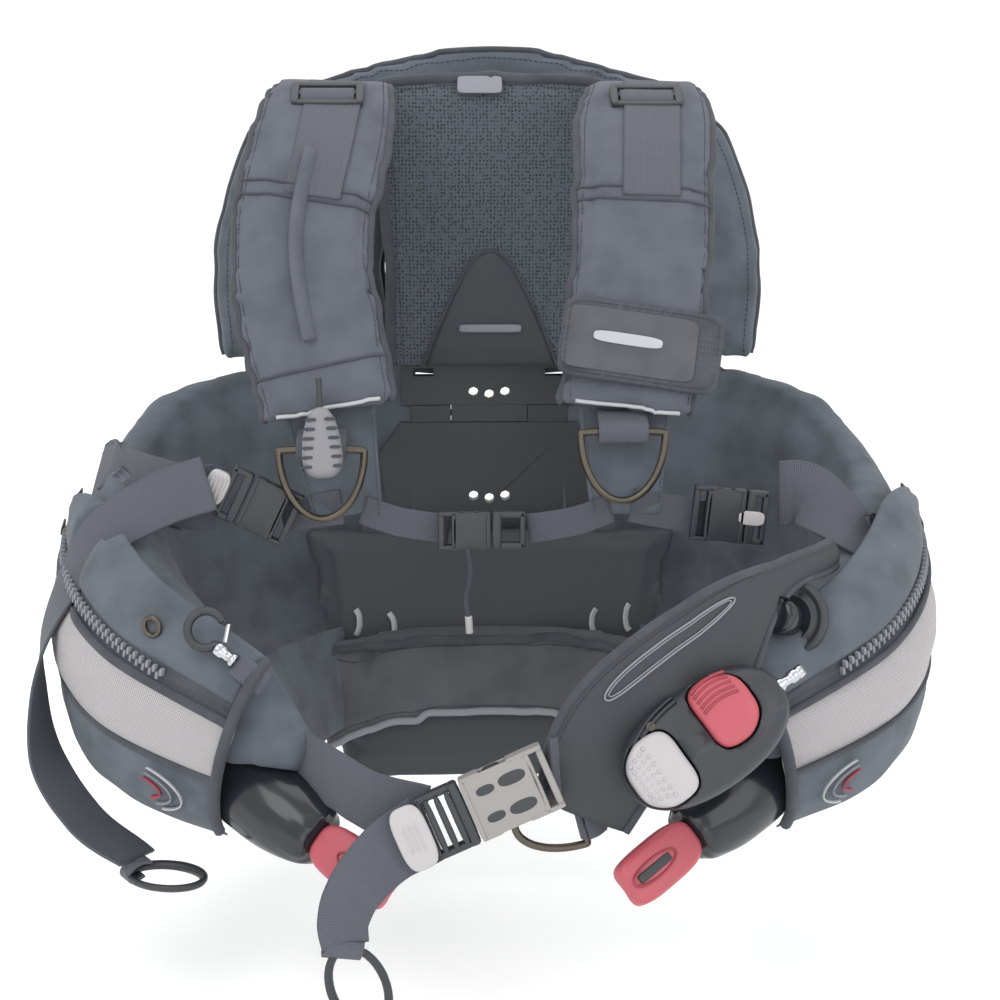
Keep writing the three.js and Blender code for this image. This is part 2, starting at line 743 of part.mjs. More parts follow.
function waistWebbing(side) {
  const path = {
    1: [at(26, -393, -152), at(40, -380, -150), at(58, -370, -150), at(84, -352, -152), at(112, -330, -158)],
    [-1]: [at(-52, -393, -182), at(-84, -384, -176), at(-112, -362, -166), at(-134, -338, -160)],
  }[side];
  return strap({ path, width: WAIST_WEB.width - 6, thick: WEBBING, across: UP, steps: 6 });
}

// ---- Weight pouches ----
const POUCH_OUT = at(-0.7, -0.62, -0.33).normalize();

function pouchFrame(side) {
  const origin = at(94 * side, -384, -219);
  return frameAt(origin, sided(side, POUCH_OUT), at(0, -1, 0.3));
}

function pouchBody() {
  return formed([4, 3, 3], (a, b, c) => {
    const x = mix(-POUCH.handleOffset - POUCH.length, -POUCH.handleOffset, (a + 1) / 2);
    const rounding = mix(0.72, 1, Math.sqrt(ramp(1 - Math.abs(a), 0, 0.4)));
    const [p, q] = disc(b, c);
    return at(x, q * POUCH.halfTall * rounding, p * POUCH.halfThick * rounding);
  });
}

function pouchBore(side) {
  const bore = formed([1, 2, 2], (a, b, c) => {
    const x = mix(-POUCH.handleOffset - POUCH.length - 2, POUCH.length, (a + 1) / 2);
    const [p, q] = disc(b, c);
    return at(x, q * (POUCH.halfTall + POUCH.play), p * (POUCH.halfThick + POUCH.play));
  });
  return placed(bore, pouchFrame(side));
}

function pouchHandle() {
  const { long, wide, thick } = POUCH_HANDLE;
  const pad = formed([5, 3, 2], (a, b, c) => {
    const taper = Math.sqrt(1 - 0.72 * a ** 4);
    const hollow = a > 0.99 ? -6 * (1 - b * b) : 0;
    return at((a * long) / 2 + hollow, (b * wide * taper) / 2, (c * thick) / 2 + 4);
  });
  return cut(pad, block([-6, -3, thick / 2 + 1], [24, 3, thick]));
}

// ---- Air control on the left front ----
const CONTROL_ALONG = at(0.83, 0.27, 0.49);
const CONTROL_FACING = at(-0.2, -0.93, 0.3);
const CONTROL_FRAME = frameAt(at(124, -396, -131), CONTROL_ALONG, CONTROL_FACING);
const LEVER_PIN_X = -10;
const LEVER_SHIFT = { 1: 7, [-1]: -2 }; // each lever's middle across the housing

function ovalBlock(long, wide, low, high, crown, steps = 3) {
  return formed([steps, steps, 1], (a, b, c) => {
    const [p, q] = disc(a, b);
    const top = c > 0 ? high - crown * (p * p + q * q) : low;
    return at((p * long) / 2, (q * wide) / 2, top);
  });
}

function leverPin(radius, length) {
  return rod(at(LEVER_PIN_X, -length / 2, 4), at(LEVER_PIN_X, length / 2, 4), radius, 8);
}

function leverPlan(direction, grow) {
  const { long, wide, thick } = LEVER;
  const low = grow > 0 ? -3 : 3;
  const high = grow > 0 ? 40 : 3 + thick + 4;
  return formed([4, 4, 1], (a, b, c) => {
    const [p, q] = [mix(a, disc(a, b)[0], 0.8), mix(b, disc(a, b)[1], 0.8)];
    const x = LEVER_PIN_X + direction * (long / 2 + LEVER.root) + p * (long / 2 + grow);
    const crown = grow > 0 ? 0 : 3 * (p * p + q * q);
    return at(x, q * (wide / 2 + grow), c > 0 ? high - crown : low);
  });
}

// Each lever's knuckle takes half of the pin.
function leverKnuckle(direction, grow) {
  const [from, to] = direction > 0 ? [-16, -1.7] : [1.7, 16];
  return block(
    [LEVER_PIN_X - 4.5 - grow, from - grow, -grow],
    [LEVER_PIN_X + 4.5 + grow, to + grow, grow > 0 ? 42 : 8],
  );
}

// The arm that joins a lever to its knuckle, or the space that it needs.
function leverArm(direction, grow) {
  const reach = LEVER_PIN_X + direction * 18;
  const [from, to] = direction > 0 ? [-15, -2] : [2, 15];
  return block(
    [Math.min(LEVER_PIN_X, reach), from - grow, grow > 0 ? -2.2 : 3.2],
    [Math.max(LEVER_PIN_X, reach), to + grow, grow > 0 ? 42 : 8],
  );
}

function lever(direction) {
  const body = leverPlan(direction, 0).translate(0, LEVER_SHIFT[direction], 0);
  const arm = leverArm(direction, 0);
  return cut(joined(body, arm, leverKnuckle(direction, 0)), leverPin(LEVER_PIN.radius + RUNNING, 80));
}

function controlHousing() {
  const oval = ovalBlock(HOUSING.long, HOUSING.wide, HOUSING.back, HOUSING.front, 7, 6);
  const recesses = [1, -1].flatMap((direction) => [
    leverPlan(direction, LEVER.play).translate(0, LEVER_SHIFT[direction], 0),
    leverArm(direction, LEVER.play),
    leverKnuckle(direction, LEVER.play),
  ]);
  const nippleSeat = rod(at(HOUSING.long / 2 - 12, 0, 0), at(HOUSING.long / 2 + 20, 0, 0), NIPPLE.radius + GAP);
  return cut(oval, ...recesses, leverPin(LEVER_PIN.radius + GAP / 2, LEVER_PIN.length + 1), nippleSeat);
}

function hoseNipple() {
  const { radius, length } = NIPPLE;
  const profile = [
    [0, 0],
    [radius, 0],
    [radius, 10],
    [radius * 0.7, 12],
    [radius * 0.7, 16],
    [radius * 0.95, 17],
    [radius * 0.95, length],
    [0, length],
  ].map(([x, y]) => new THREE.Vector2(x, y));
  const lathe = new THREE.LatheGeometry(profile, 12);
  return lathe.rotateZ(-Math.PI / 2).translate(HOUSING.long / 2 - 10, 0, 0);
}

function controlPanel() {
  const path = [
    at(48, -384, -186),
    at(68, -386, -140),
    at(112, -382, -98),
    at(170, -350, -66),
    at(226, -282, -44),
  ];
  const widthCurve = new THREE.CatmullRomCurve3(CONTROL_PANEL.widths.map((w, i) => at(w, i * 50, 0)));
  return strap({
    path,
    width: (t) => widthCurve.getPoint(t).x,
    thick: CONTROL_PANEL.thick,
    across: (t) => at(mix(0.9, 0.5, t), mix(0.1, 0.4, t), -0.9),
    steps: 10,
    lanes: 2,
  });
}

function buildControl() {
  const group = hardwareGroup(CONTROL_FRAME);
  addPiece("control_housing", controlHousing(), "blackPlastic", group);
  addPiece("inflate_lever", lever(1), "redPlastic", group);
  addPiece("deflate_lever", lever(-1), "greyPlastic", group);
  addPiece("lever_pin", leverPin(LEVER_PIN.radius, LEVER_PIN.length), "steel", group);
  addPiece("hose_nipple", hoseNipple(), "chrome", group);
}

// ---- Dump valve: body, spring and pull cap along its own +Z ----
const VALVE_FRAME = frameAt(at(188, -322, -73), at(0.8, -0.5, 0.2), at(-0.5, -0.82, 0.28));

function lathe(profile, sides = 18) {
  const points = profile.map(([x, y]) => new THREE.Vector2(x, y));
  return new THREE.LatheGeometry(points, sides).rotateX(Math.PI / 2);
}

function valveBody() {
  const { radius, thick, hub, hubHeight } = VALVE;
  return lathe([
    [0, -thick],
    [radius, -thick],
    [radius, -1],
    [radius - 3, 1],
    [radius - 5, -1],
    [radius - 8, -1],
    [radius - 9, 1],
    [hub + 6, 0],
    [hub, 0],
    [hub, hubHeight - 6],
    [hub - 2, hubHeight - 6],
    [hub - 2, 1],
    [0, 1],
  ]);
}

function valveCap() {
  const { hub, cap, capLength, capWall } = VALVE;
  return lathe([
    [0, capLength],
    [cap - 1, capLength],
    [cap, capLength - 1],
    [cap, 2.5],
    [hub + SLIDING, 2.5],
    [hub + SLIDING, capLength - capWall],
    [0, capLength - capWall],
  ]);
}

function valveSpring() {
  const turns = 3;
  const steps = turns * 8;
  const [low, high, radius] = [2.2, VALVE.capLength - VALVE.capWall - 1, 4.2];
  const points = Array.from({ length: steps + 1 }, (_, i) => {
    const angle = (i / 8) * 2 * Math.PI;
    return at(radius * Math.cos(angle), radius * Math.sin(angle), mix(low, high, i / steps));
  });
  return strap({
    path: points,
    width: 1.2,
    thick: 1.2,
    across: UP,
    steps,
  });
}

function buildValve() {
  const group = hardwareGroup(VALVE_FRAME);
  addPiece("dump_valve_body", valveBody(), "blackPlastic", group);
  addPiece("dump_valve_cap", valveCap(), "glossBlack", group);
  addPiece("dump_valve_spring", valveSpring(), "steel", group);
}

// ---- Hose flap, pull knob, strap adjusters and snap hook ----
const FLAP_FRAME = frameAt(at(98, -227, 97), at(0.985, 0, -0.15), at(0, -0.955, 0.3));

function hoseFlap() {
  return formed([6, 2, 1], (a, b, c) => {
    const wrap = 2 * a ** 4;
    return at((a * FLAP.width) / 2, (b * FLAP.height) / 2, (c * FLAP.thick) / 2 - wrap);
  });
}

const KNOB_FRAME = frameAt(at(-120, -256, 35), at(0.05, -0.28, -0.95), at(0, -0.96, 0.28));

function pullKnob() {
  const { half, halfTop, height, thick, stem, stemLength } = KNOB;
  const pear = formed([5, 2, 2], (a, b, c) => {
    const wide = mix(halfTop, half, Math.sqrt((a + 1) / 2)) * Math.sqrt(1 - 0.45 * a ** 6);
    const [p, q] = disc(b, c);
    return at((a * height) / 2, p * wide, (q * thick) / 2);
  });
  return joined(pear, rod(at(-height / 2 - stemLength, 0, 0), at(-height / 2 + 4, 0, 0), stem, 8));
}

function strapAdjuster() {
  return cut(
    block([-ADJUSTER.half, -14, -3], [ADJUSTER.half, 14, 3]),
    block([-ADJUSTER.slot, -9, -4], [ADJUSTER.slot, -5, 4]),
    block([-ADJUSTER.slot, 4, -4], [ADJUSTER.slot, 8, 4]),
  );
}

const HOOK_FRAME = frameAt(at(-192, -336, -74), at(0.75, -0.3, -0.5), at(-0.2, -0.9, 0.4));
const HOOK_OPENING = { from: rad(-20), to: rad(60) };

function snapHook() {
  const turn = (angle) => at(HOOK.radius * Math.cos(angle), HOOK.radius * Math.sin(angle), 0);
  const points = [];
  const steps = 9;
  for (let i = 0; i <= steps; i += 1) points.push(turn(mix(HOOK_OPENING.to, 2 * Math.PI + HOOK_OPENING.from, i / steps)));
  points.push(at(HOOK.radius + 4, -HOOK.radius * 0.45, 0));
  const wire = strap({ path: points, width: HOOK.wire * 2, thick: HOOK.wire * 2, across: at(0, 0, 1), steps: 14 });
  const barrel = block(
    [HOOK.radius + 1, -HOOK.radius * 0.45 - 5, -4],
    [HOOK.radius + HOOK.barrel, -HOOK.radius * 0.45 + 5, 4],
  );
  return joined(wire, barrel);
}

function snapGate() {
  const from = at(HOOK.radius + 3.4, -HOOK.radius * 0.45 + 6, 0);
  const to = at(HOOK.radius * Math.cos(HOOK_OPENING.to) + 4, HOOK.radius * Math.sin(HOOK_OPENING.to) + 1, 0);
  return rod(from, to, 1.4, 6);
}

// ---- Putting the vest together ----
buildBackplate();
buildTankBand();

const backCellShape = backCell();
const handleShape = clearOf(carryHandle(), [backCellShape]);
addPiece("back_pad", backPad(), "mesh");
addPiece("waist_panel", waistPanel(), "nylon");
addPiece("lumbar_pad", clearOf(lumbarPad(), [waistPanel()]), "neoprene");
addPiece("back_air_cell", backCellShape, "nylon");
addPiece("carry_handle", handleShape, "webbing");

const panelShape = controlPanel();
const housingShape = placed(
  ovalBlock(HOUSING.long, HOUSING.wide, HOUSING.back, HOUSING.front, 7, 6),
  CONTROL_FRAME,
);
const valveShape = placed(valveBody(), VALVE_FRAME);
const capSpace = placed(rod(at(0, 0, 0), at(0, 0, VALVE.capLength + VALVE_TRAVEL + 4), VALVE.cap + 1), VALVE_FRAME);

for (const [name, side] of Object.entries(SIDES)) {
  const arc = zipArc(side);
  const bore = pouchBore(side);
  const hip = hipWebbing(side);
  const waist = waistWebbing(side);
  const channel = zipChannel(arc);
  const front = side > 0 ? [panelShape, housingShape, valveShape, capSpace] : [shoulderTail()];
  addPiece("shoulder_pad_" + name, shoulderPad(name), "nylon");
  addPiece("shoulder_webbing_" + name, shoulderWebbing(name, RING_FRAME[name]), "webbing");
  addPiece("shoulder_d_ring_" + name, dRing(D_RING), "steel", hardwareGroup(RING_FRAME[name]));
  addPiece("hip_webbing_" + name, hip, "webbing");
  addPiece("waist_webbing_" + name, cut(waist, bore), "webbing");
  const meets = [hip, waist, ...front];
  addPiece("side_air_cell_" + name, mainBody(cut(clearOf(sideCell(side), meets), bore, channel)), "nylon");
  addPiece("cargo_pocket_" + name, mainBody(cut(clearOf(cargoPocket(side), meets), bore, channel)), "mesh");
  addPiece("zip_slider_" + name, zipSlider(arc), "steel");
  const pouch = hardwareGroup(pouchFrame(side));
  addPiece("weight_pouch_" + name, pouchBody(), "glossBlack", pouch);
  addPiece("weight_handle_" + name, clearOf(pouchHandle(), [pouchBody()]), "redPlastic", pouch);
}
const panelMeets = [housingShape, valveShape, hipWebbing(1), waistWebbing(1)];
addPiece("control_panel", mainBody(cut(clearOf(panelShape, panelMeets), pouchBore(1), capSpace)), "rubber");
buildControl();
buildValve();

const black = { socket: "blackPlastic", clip: "blackPlastic" };
addBuckle("shoulder_buckle_right", SHOULDER_BUCKLE, BUCKLE_FRAME.shoulder_right, { socket: "blackPlastic", clip: "greyPlastic" });
addBuckle("shoulder_buckle_left", SHOULDER_BUCKLE, BUCKLE_FRAME.shoulder_left, black);
addBuckle("sternum_buckle", STERNUM_BUCKLE, BUCKLE_FRAME.sternum, black);
addBuckle("waist_buckle", WAIST_BUCKLE, BUCKLE_FRAME.waist, { socket: "greyPlastic", clip: "blackPlastic" });

addPiece("shoulder_tail_right", shoulderTail(), "webbing");
const SHOULDER_RING_FRAME = frameAt(at(-226, -304, -252), at(0.4, 0.9, 0.1), at(0.1, 0.2, 1));
addPiece("shoulder_tail_ring", fingerRing(), "blackPlastic", hardwareGroup(SHOULDER_RING_FRAME));
addPiece("waist_tail", waistTail(), "webbing");
const WAIST_TAIL_RING_FRAME = frameAt(at(-94, -412, -287), at(1, 0.1, 0.4), at(0.2, -1, 0.1));
addPiece("waist_tail_ring", fingerRing(), "blackPlastic", hardwareGroup(WAIST_TAIL_RING_FRAME));

const WAIST_RING_FRAME = frameAt(at(46, -371.5, -186), at(0.25, 0, -0.95), at(0.1, -1, 0));
addPiece("waist_d_ring", dRing(WAIST_RING), "steel", hardwareGroup(WAIST_RING_FRAME));

addPiece("hose_flap", hoseFlap(), "nylon", hardwareGroup(FLAP_FRAME));
addPiece("dump_pull_knob", pullKnob(), "greyPlastic", hardwareGroup(KNOB_FRAME));
for (const name of Object.keys(SIDES)) {
  const pad = new THREE.CatmullRomCurve3(PAD_POINTS[name]);
  const onTop = pad.getPointAt(ADJUSTER.share);
  const normal = pad.getTangentAt(ADJUSTER.share).cross(at(1, 0, 0)).normalize();
  const frame = frameAt(onTop.addScaledVector(normal, PAD.thick / 2 + ADJUSTER.lift), at(1, 0, 0), normal);
  addPiece("strap_adjuster_" + name, strapAdjuster(), "blackPlastic", hardwareGroup(frame));
}
const hookGroup = hardwareGroup(HOOK_FRAME);
addPiece("snap_hook", snapHook(), "steel", hookGroup);
addPiece("snap_gate", snapGate(), "steel", hookGroup);

export default vest;
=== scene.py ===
import json
import math

import bmesh
import bpy
from mathutils import Matrix, Vector, noise
from mathutils.bvhtree import BVHTree
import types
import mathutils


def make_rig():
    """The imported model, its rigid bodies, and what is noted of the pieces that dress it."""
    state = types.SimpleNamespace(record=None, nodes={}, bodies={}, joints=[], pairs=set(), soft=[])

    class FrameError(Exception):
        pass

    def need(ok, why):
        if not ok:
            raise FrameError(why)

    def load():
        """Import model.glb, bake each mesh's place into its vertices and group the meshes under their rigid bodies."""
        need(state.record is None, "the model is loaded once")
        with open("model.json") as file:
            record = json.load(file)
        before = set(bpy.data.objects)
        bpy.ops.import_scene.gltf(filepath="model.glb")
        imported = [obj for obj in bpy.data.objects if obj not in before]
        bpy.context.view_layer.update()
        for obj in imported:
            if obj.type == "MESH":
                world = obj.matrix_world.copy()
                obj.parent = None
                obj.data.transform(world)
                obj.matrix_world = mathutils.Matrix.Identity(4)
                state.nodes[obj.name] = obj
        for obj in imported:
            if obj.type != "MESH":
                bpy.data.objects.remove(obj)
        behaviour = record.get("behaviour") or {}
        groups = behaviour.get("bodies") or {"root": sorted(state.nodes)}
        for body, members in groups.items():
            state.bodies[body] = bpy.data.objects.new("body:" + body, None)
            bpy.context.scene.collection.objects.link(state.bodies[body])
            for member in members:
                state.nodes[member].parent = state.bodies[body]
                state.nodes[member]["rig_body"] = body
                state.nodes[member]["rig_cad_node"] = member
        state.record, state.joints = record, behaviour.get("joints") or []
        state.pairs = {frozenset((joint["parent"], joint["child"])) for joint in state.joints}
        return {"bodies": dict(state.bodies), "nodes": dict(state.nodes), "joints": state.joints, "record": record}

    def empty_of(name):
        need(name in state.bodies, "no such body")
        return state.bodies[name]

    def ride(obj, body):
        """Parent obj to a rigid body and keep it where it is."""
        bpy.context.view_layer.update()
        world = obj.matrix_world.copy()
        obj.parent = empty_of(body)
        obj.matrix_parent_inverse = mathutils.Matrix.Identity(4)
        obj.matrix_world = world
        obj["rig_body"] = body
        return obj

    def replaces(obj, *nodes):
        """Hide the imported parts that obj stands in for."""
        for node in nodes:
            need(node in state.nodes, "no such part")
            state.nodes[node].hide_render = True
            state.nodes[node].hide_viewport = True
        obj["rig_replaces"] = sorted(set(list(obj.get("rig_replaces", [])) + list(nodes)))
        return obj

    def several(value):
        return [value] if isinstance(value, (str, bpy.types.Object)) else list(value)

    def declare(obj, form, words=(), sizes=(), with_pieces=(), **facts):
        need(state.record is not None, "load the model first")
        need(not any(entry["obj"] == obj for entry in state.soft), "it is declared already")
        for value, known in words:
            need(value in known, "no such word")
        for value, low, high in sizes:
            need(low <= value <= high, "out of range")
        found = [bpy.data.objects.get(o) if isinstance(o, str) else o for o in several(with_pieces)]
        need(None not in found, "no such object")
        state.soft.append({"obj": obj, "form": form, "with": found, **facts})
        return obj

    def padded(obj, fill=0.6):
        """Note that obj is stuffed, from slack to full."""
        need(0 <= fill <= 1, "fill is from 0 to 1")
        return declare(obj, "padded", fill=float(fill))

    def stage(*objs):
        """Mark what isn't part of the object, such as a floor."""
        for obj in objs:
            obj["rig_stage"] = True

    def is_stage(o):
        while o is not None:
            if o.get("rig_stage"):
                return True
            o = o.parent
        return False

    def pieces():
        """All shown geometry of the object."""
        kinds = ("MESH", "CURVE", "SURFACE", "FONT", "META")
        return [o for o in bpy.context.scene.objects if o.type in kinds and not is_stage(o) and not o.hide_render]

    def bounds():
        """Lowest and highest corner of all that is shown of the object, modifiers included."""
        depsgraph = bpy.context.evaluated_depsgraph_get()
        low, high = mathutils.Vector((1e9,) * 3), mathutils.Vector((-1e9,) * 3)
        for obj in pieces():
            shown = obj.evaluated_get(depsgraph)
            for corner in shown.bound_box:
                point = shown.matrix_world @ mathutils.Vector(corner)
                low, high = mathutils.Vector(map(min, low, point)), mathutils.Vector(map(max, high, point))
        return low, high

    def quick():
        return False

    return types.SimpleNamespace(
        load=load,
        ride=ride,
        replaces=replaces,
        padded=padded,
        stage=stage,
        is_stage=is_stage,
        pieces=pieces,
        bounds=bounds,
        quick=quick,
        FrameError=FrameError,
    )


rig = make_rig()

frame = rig.load()
scene = bpy.context.scene

METRE = 0.001  # one millimetre; every builder below works in millimetres


sizes = {"cad": [list(corner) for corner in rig.bounds()]}

# ---- Lines and places ----
SIDES = {"right": -1, "left": 1}
FRONT = Vector((0, -1, 0))
UP = Vector((0, 0, 1))


def mix(a, b, t):
    return a + (b - a) * t


def ramp(x, low, high):
    t = min(1, max(0, (x - low) / (high - low)))
    return t * t * (3 - 2 * t)


def sided(side, place):
    return Vector((place[0] * side, place[1], place[2]))


class Line:
    """A smooth line through points, by centripetal Catmull-Rom."""

    def __init__(self, points):
        self.points = [Vector(p) for p in points]
        self.places = [self.point(i / 200) for i in range(201)]
        self.lengths = [0.0]
        for a, b in zip(self.places, self.places[1:]):
            self.lengths.append(self.lengths[-1] + (b - a).length)
        self.length = self.lengths[-1]

    def point(self, t):
        p = self.points
        last = len(p) - 1
        place = min(max(t, 0), 1) * last
        i = min(int(place), last - 1)
        w = place - i
        before = p[i - 1] if i > 0 else p[0] * 2 - p[1]
        after = p[i + 2] if i + 2 <= last else p[last] * 2 - p[last - 1]
        spans = [(b - a).length ** 0.5 or 1.0 for a, b in ((before, p[i]), (p[i], p[i + 1]), (p[i + 1], after))]
        start = (p[i] - before) / spans[0] - (p[i + 1] - before) / (spans[0] + spans[1]) + (p[i + 1] - p[i]) / spans[1]
        end = (p[i + 1] - p[i]) / spans[1] - (after - p[i]) / (spans[1] + spans[2]) + (after - p[i + 1]) / spans[2]
        start, end = start * spans[1], end * spans[1]
        gap = p[i] - p[i + 1]
        return p[i] + start * w + (-3 * gap - 2 * start - end) * w**2 + (2 * gap + start + end) * w**3

    def share(self, s):
        """The parameter at a share of the line's length."""
        wanted = min(max(s, 0), 1) * self.length
        i = next((k for k in range(200) if self.lengths[k + 1] >= wanted), 199)
        step = self.lengths[i + 1] - self.lengths[i] or 1.0
        return (i + (wanted - self.lengths[i]) / step) / 200

    def at(self, s):
        return self.point(self.share(s))

    def along(self, t, step=1e-3):
        return (self.point(min(t + step, 1)) - self.point(max(t - step, 0))).normalized()


def frame_at(origin, along, facing):
    x = Vector(along).normalized()
    z = Vector(facing)
    z = (z - x * z.dot(x)).normalized()
    place = Matrix((x, z.cross(x), z)).transposed().to_4x4()
    place.translation = Vector(origin)
    return place


# ---- Materials ----
def linear(code):
    """A hex colour as it's seen, turned into the linear values that the shader takes."""
    parts = [int(code[i : i + 2], 16) / 255 for i in (1, 3, 5)]
    return [c / 12.92 if c <= 0.04045 else ((c + 0.055) / 1.055) ** 2.4 for c in parts] + [1.0]


class Look:
    """A material on a Principled shader; put() adds one node with its settings and links."""

    def __init__(self, name, color, roughness, metallic=0.0, ior=1.5, **sockets):
        self.material = bpy.data.materials.new(name)
        self.material.use_nodes = True
        self.tree = self.material.node_tree
        self.shader = self.tree.nodes["Principled BSDF"]
        values = {"Base Color": linear(color), "Roughness": roughness, "Metallic": metallic, "IOR": ior}
        for socket, value in {**values, **sockets}.items():
            self.shader.inputs[socket].default_value = value

    def put(self, kind, inputs=None, **settings):
        node = self.tree.nodes.new(kind)
        for key, value in settings.items():
            setattr(node, key, value)
        for socket, value in (inputs or {}).items():
            if isinstance(value, bpy.types.NodeSocket):
                self.tree.links.new(value, node.inputs[socket])
            else:
                node.inputs[socket].default_value = value
        return node

    def place(self, cloth=False):
        """Where a point is: along and across the cloth, or in the vest's own frame."""
        if cloth:
            return self.put("ShaderNodeUVMap", uv_map="cloth").outputs["UV"]
        return self.put("ShaderNodeTexCoord").outputs["Object"]

    def scaled(self, where, scale, turn=0.0):
        inputs = {"Vector": where, "Scale": scale, "Rotation": (0, 0, turn)}
        return self.put("ShaderNodeMapping", inputs).outputs["Vector"]

    def threads(self, where, pitch, turn=0.0, direction="X"):
        """Bands of one thread per pitch, in metres."""
        vector = self.scaled(where, (1, 1, 1), turn)
        settings = {"wave_type": "BANDS", "bands_direction": direction, "wave_profile": "SIN"}
        scale = math.pi / (10 * pitch) * 2
        return self.put("ShaderNodeTexWave", {"Vector": vector, "Scale": scale, "Distortion": 0.0},
                        **settings).outputs["Fac"]

    def math(self, kind, a, b=0.5):
        return self.put("ShaderNodeMath", {0: a, 1: b}, operation=kind).outputs[0]

    def noise(self, where, scale, detail=3.0):
        return self.put("ShaderNodeTexNoise", {"Vector": where, "Scale": scale, "Detail": detail}).outputs["Fac"]

    def shade(self, factor, dark, light, low=0.3, high=0.7):
        """Colour between dark and light by the factor."""
        node = self.put("ShaderNodeValToRGB", {"Fac": factor})
        first, last = node.color_ramp.elements
        first.position, last.position = low, high
        first.color, last.color = linear(dark), linear(light)
        self.tree.links.new(node.outputs["Color"], self.shader.inputs["Base Color"])
        return self

    def bump(self, height, strength, distance):
        node = self.put("ShaderNodeBump", {"Height": height, "Strength": strength, "Distance": distance})
        self.tree.links.new(node.outputs["Normal"], self.shader.inputs["Normal"])
        return self


def woven(name, dark, light, pitch, sheen=0.25, cloth=False):
    """Plain-woven nylon: threads crossing both ways, with a soft mottling from wear."""
    look = Look(name, dark, 0.82, **{"Sheen Weight": sheen, "Sheen Roughness": 0.45})
    where = look.place(cloth)
    warp = look.threads(where, pitch)
    weft = look.threads(where, pitch, direction="Y" if cloth else "Z")
    weave = look.math("MULTIPLY", warp, weft)
    mottle = look.noise(where, 38)
    mixed = look.put("ShaderNodeMath", {0: weave, 1: 0.4, 2: mottle}, operation="MULTIPLY_ADD").outputs[0]
    return look.shade(mixed, dark, light).bump(weave, 0.5, pitch * 0.3)


def ribbed_webbing(name, dark, light, pitch=0.0016):
    """Heavy nylon webbing: ribs straight across, a finer thread along each."""
    look = Look(name, dark, 0.75, **{"Sheen Weight": 0.06})
    where = look.place(cloth=True)
    ribs = look.threads(where, pitch)
    fine = look.threads(where, pitch * 1.4, direction="Y")
    node = look.put("ShaderNodeMath", {0: fine, 1: 0.35, 2: ribs}, operation="MULTIPLY_ADD").outputs[0]
    return look.shade(node, dark, light, 0.2, 1.1).bump(node, 0.6, 0.0005)


def spacer_mesh(name, dark, light, pitch):
    """Knitted spacer mesh: round holes a few millimetres apart that look into the dark core."""
    look = Look(name, light, 0.88, **{"Sheen Weight": 0.04})
    flat = look.scaled(look.place(), (1, 0, 1))
    cells = look.put("ShaderNodeTexVoronoi", {"Vector": flat, "Scale": 1 / pitch, "Randomness": 0.35})
    holes = cells.outputs["Distance"]
    return look.shade(holes, dark, light, 0.22, 0.42).bump(holes, 0.8, 0.001)


def open_mesh(name, dark, light, pitch):
    """Coarse polyester drain mesh: slanting threads over darker gaps."""
    look = Look(name, light, 0.6, **{"Sheen Weight": 0.15})
    where = look.place(cloth=True)
    one = look.threads(where, pitch, math.radians(38))
    other = look.threads(where, pitch, math.radians(-38))
    crossing = look.math("MAXIMUM", one, other)
    return look.shade(crossing, dark, light, 0.35, 0.95).bump(crossing, 0.8, 0.0008)


def moulded_plastic(name, color, roughness, grain=0.35):
    """Injection-moulded acetal with a fine spark-eroded grain."""
    look = Look(name, color, roughness, ior=1.48)
    return look.bump(look.noise(look.place(), 1500, 2.0), grain, 0.0001)


# Coated ballistic nylon of the shell: near black with a cold cast, faint weave.
SHELL = woven("ballistic nylon", "#3f444c", "#565d66", 0.0011, sheen=0.06)
# The lighter, finer cloth of the pads' top side.
PAD_CLOTH = woven("cordura pad cloth", "#424650", "#545862", 0.0009, sheen=0.08)
# Knit binding tape at the cloth's edges: darker and matt, so that edges read as lines. The same dark colour also makes
# the knob's grip slots, as painted shade.
BINDING_AND_SLOT_SHADE = woven("binding tape", "#2c2f35", "#43474e", 0.0008, sheen=0.05, cloth=True)
# Harness webbing: the ribs give the straps their dull grey sheen.
WEBBING = ribbed_webbing("nylon webbing", "#363942", "#5c5f69")
# Air mesh of the back pad: the round holes make the black field look grainy.
AIR_MESH = spacer_mesh("spacer air mesh", "#23272c", "#4c535b", 0.0027)
# Drain mesh of the pockets: light grey crossed threads, the palest cloth on the vest.
DRAIN_MESH = open_mesh("polyester drain mesh", "#767577", "#b8b5b7", 0.0024)
# Neoprene with knit face on the lumbar pad: a warmer, smoother grey.
NEOPRENE = woven("knit-faced neoprene", "#424348", "#515257", 0.0007, sheen=0.1)
# Smooth coated liner inside the vest: slight gloss.
LINER = Look("coated liner", "#33373c", 0.6, **{"Sheen Weight": 0.03})
LINER.bump(LINER.noise(LINER.place(), 60), 0.3, 0.001)
# Black acetal of buckles, backplate and clips: satin with fine grain.
BLACK_ACETAL = moulded_plastic("black acetal", "#2b2e33", 0.42)
# Blow-moulded pouch ends: smooth and glossy.
GLOSS_BLACK = moulded_plastic("glossy blow-moulded sheath", "#1f2227", 0.18, grain=0.05)
# Soft moulded elastomer of the control panel: matt with faint grain.
ELASTOMER = moulded_plastic("soft elastomer", "#303338", 0.62, grain=0.5)
# Moulded nylon of the deflate lever and of the pale tabs and tips: light grey, satin, without grain.
GREY_NYLON = moulded_plastic("light grey nylon", "#a8a5a7", 0.45)
# Weathered mid grey nylon of the pull knob and the waist buckle's socket.
KNOB_NYLON = moulded_plastic("mid grey nylon", "#78777b", 0.5)
SOCKET_NYLON = moulded_plastic("pale satin nylon", "#888583", 0.4)
# Red levers and handles: warm coral red, satin.
RED_NYLON = moulded_plastic("red nylon", "#a84b55", 0.42)
# A darker copy of the red nylon for the lever's ridges and the handle's slot rim: painted shade.
RED_PAINTED_SHADE = moulded_plastic("red grip, upper part", "#8d333d", 0.45)
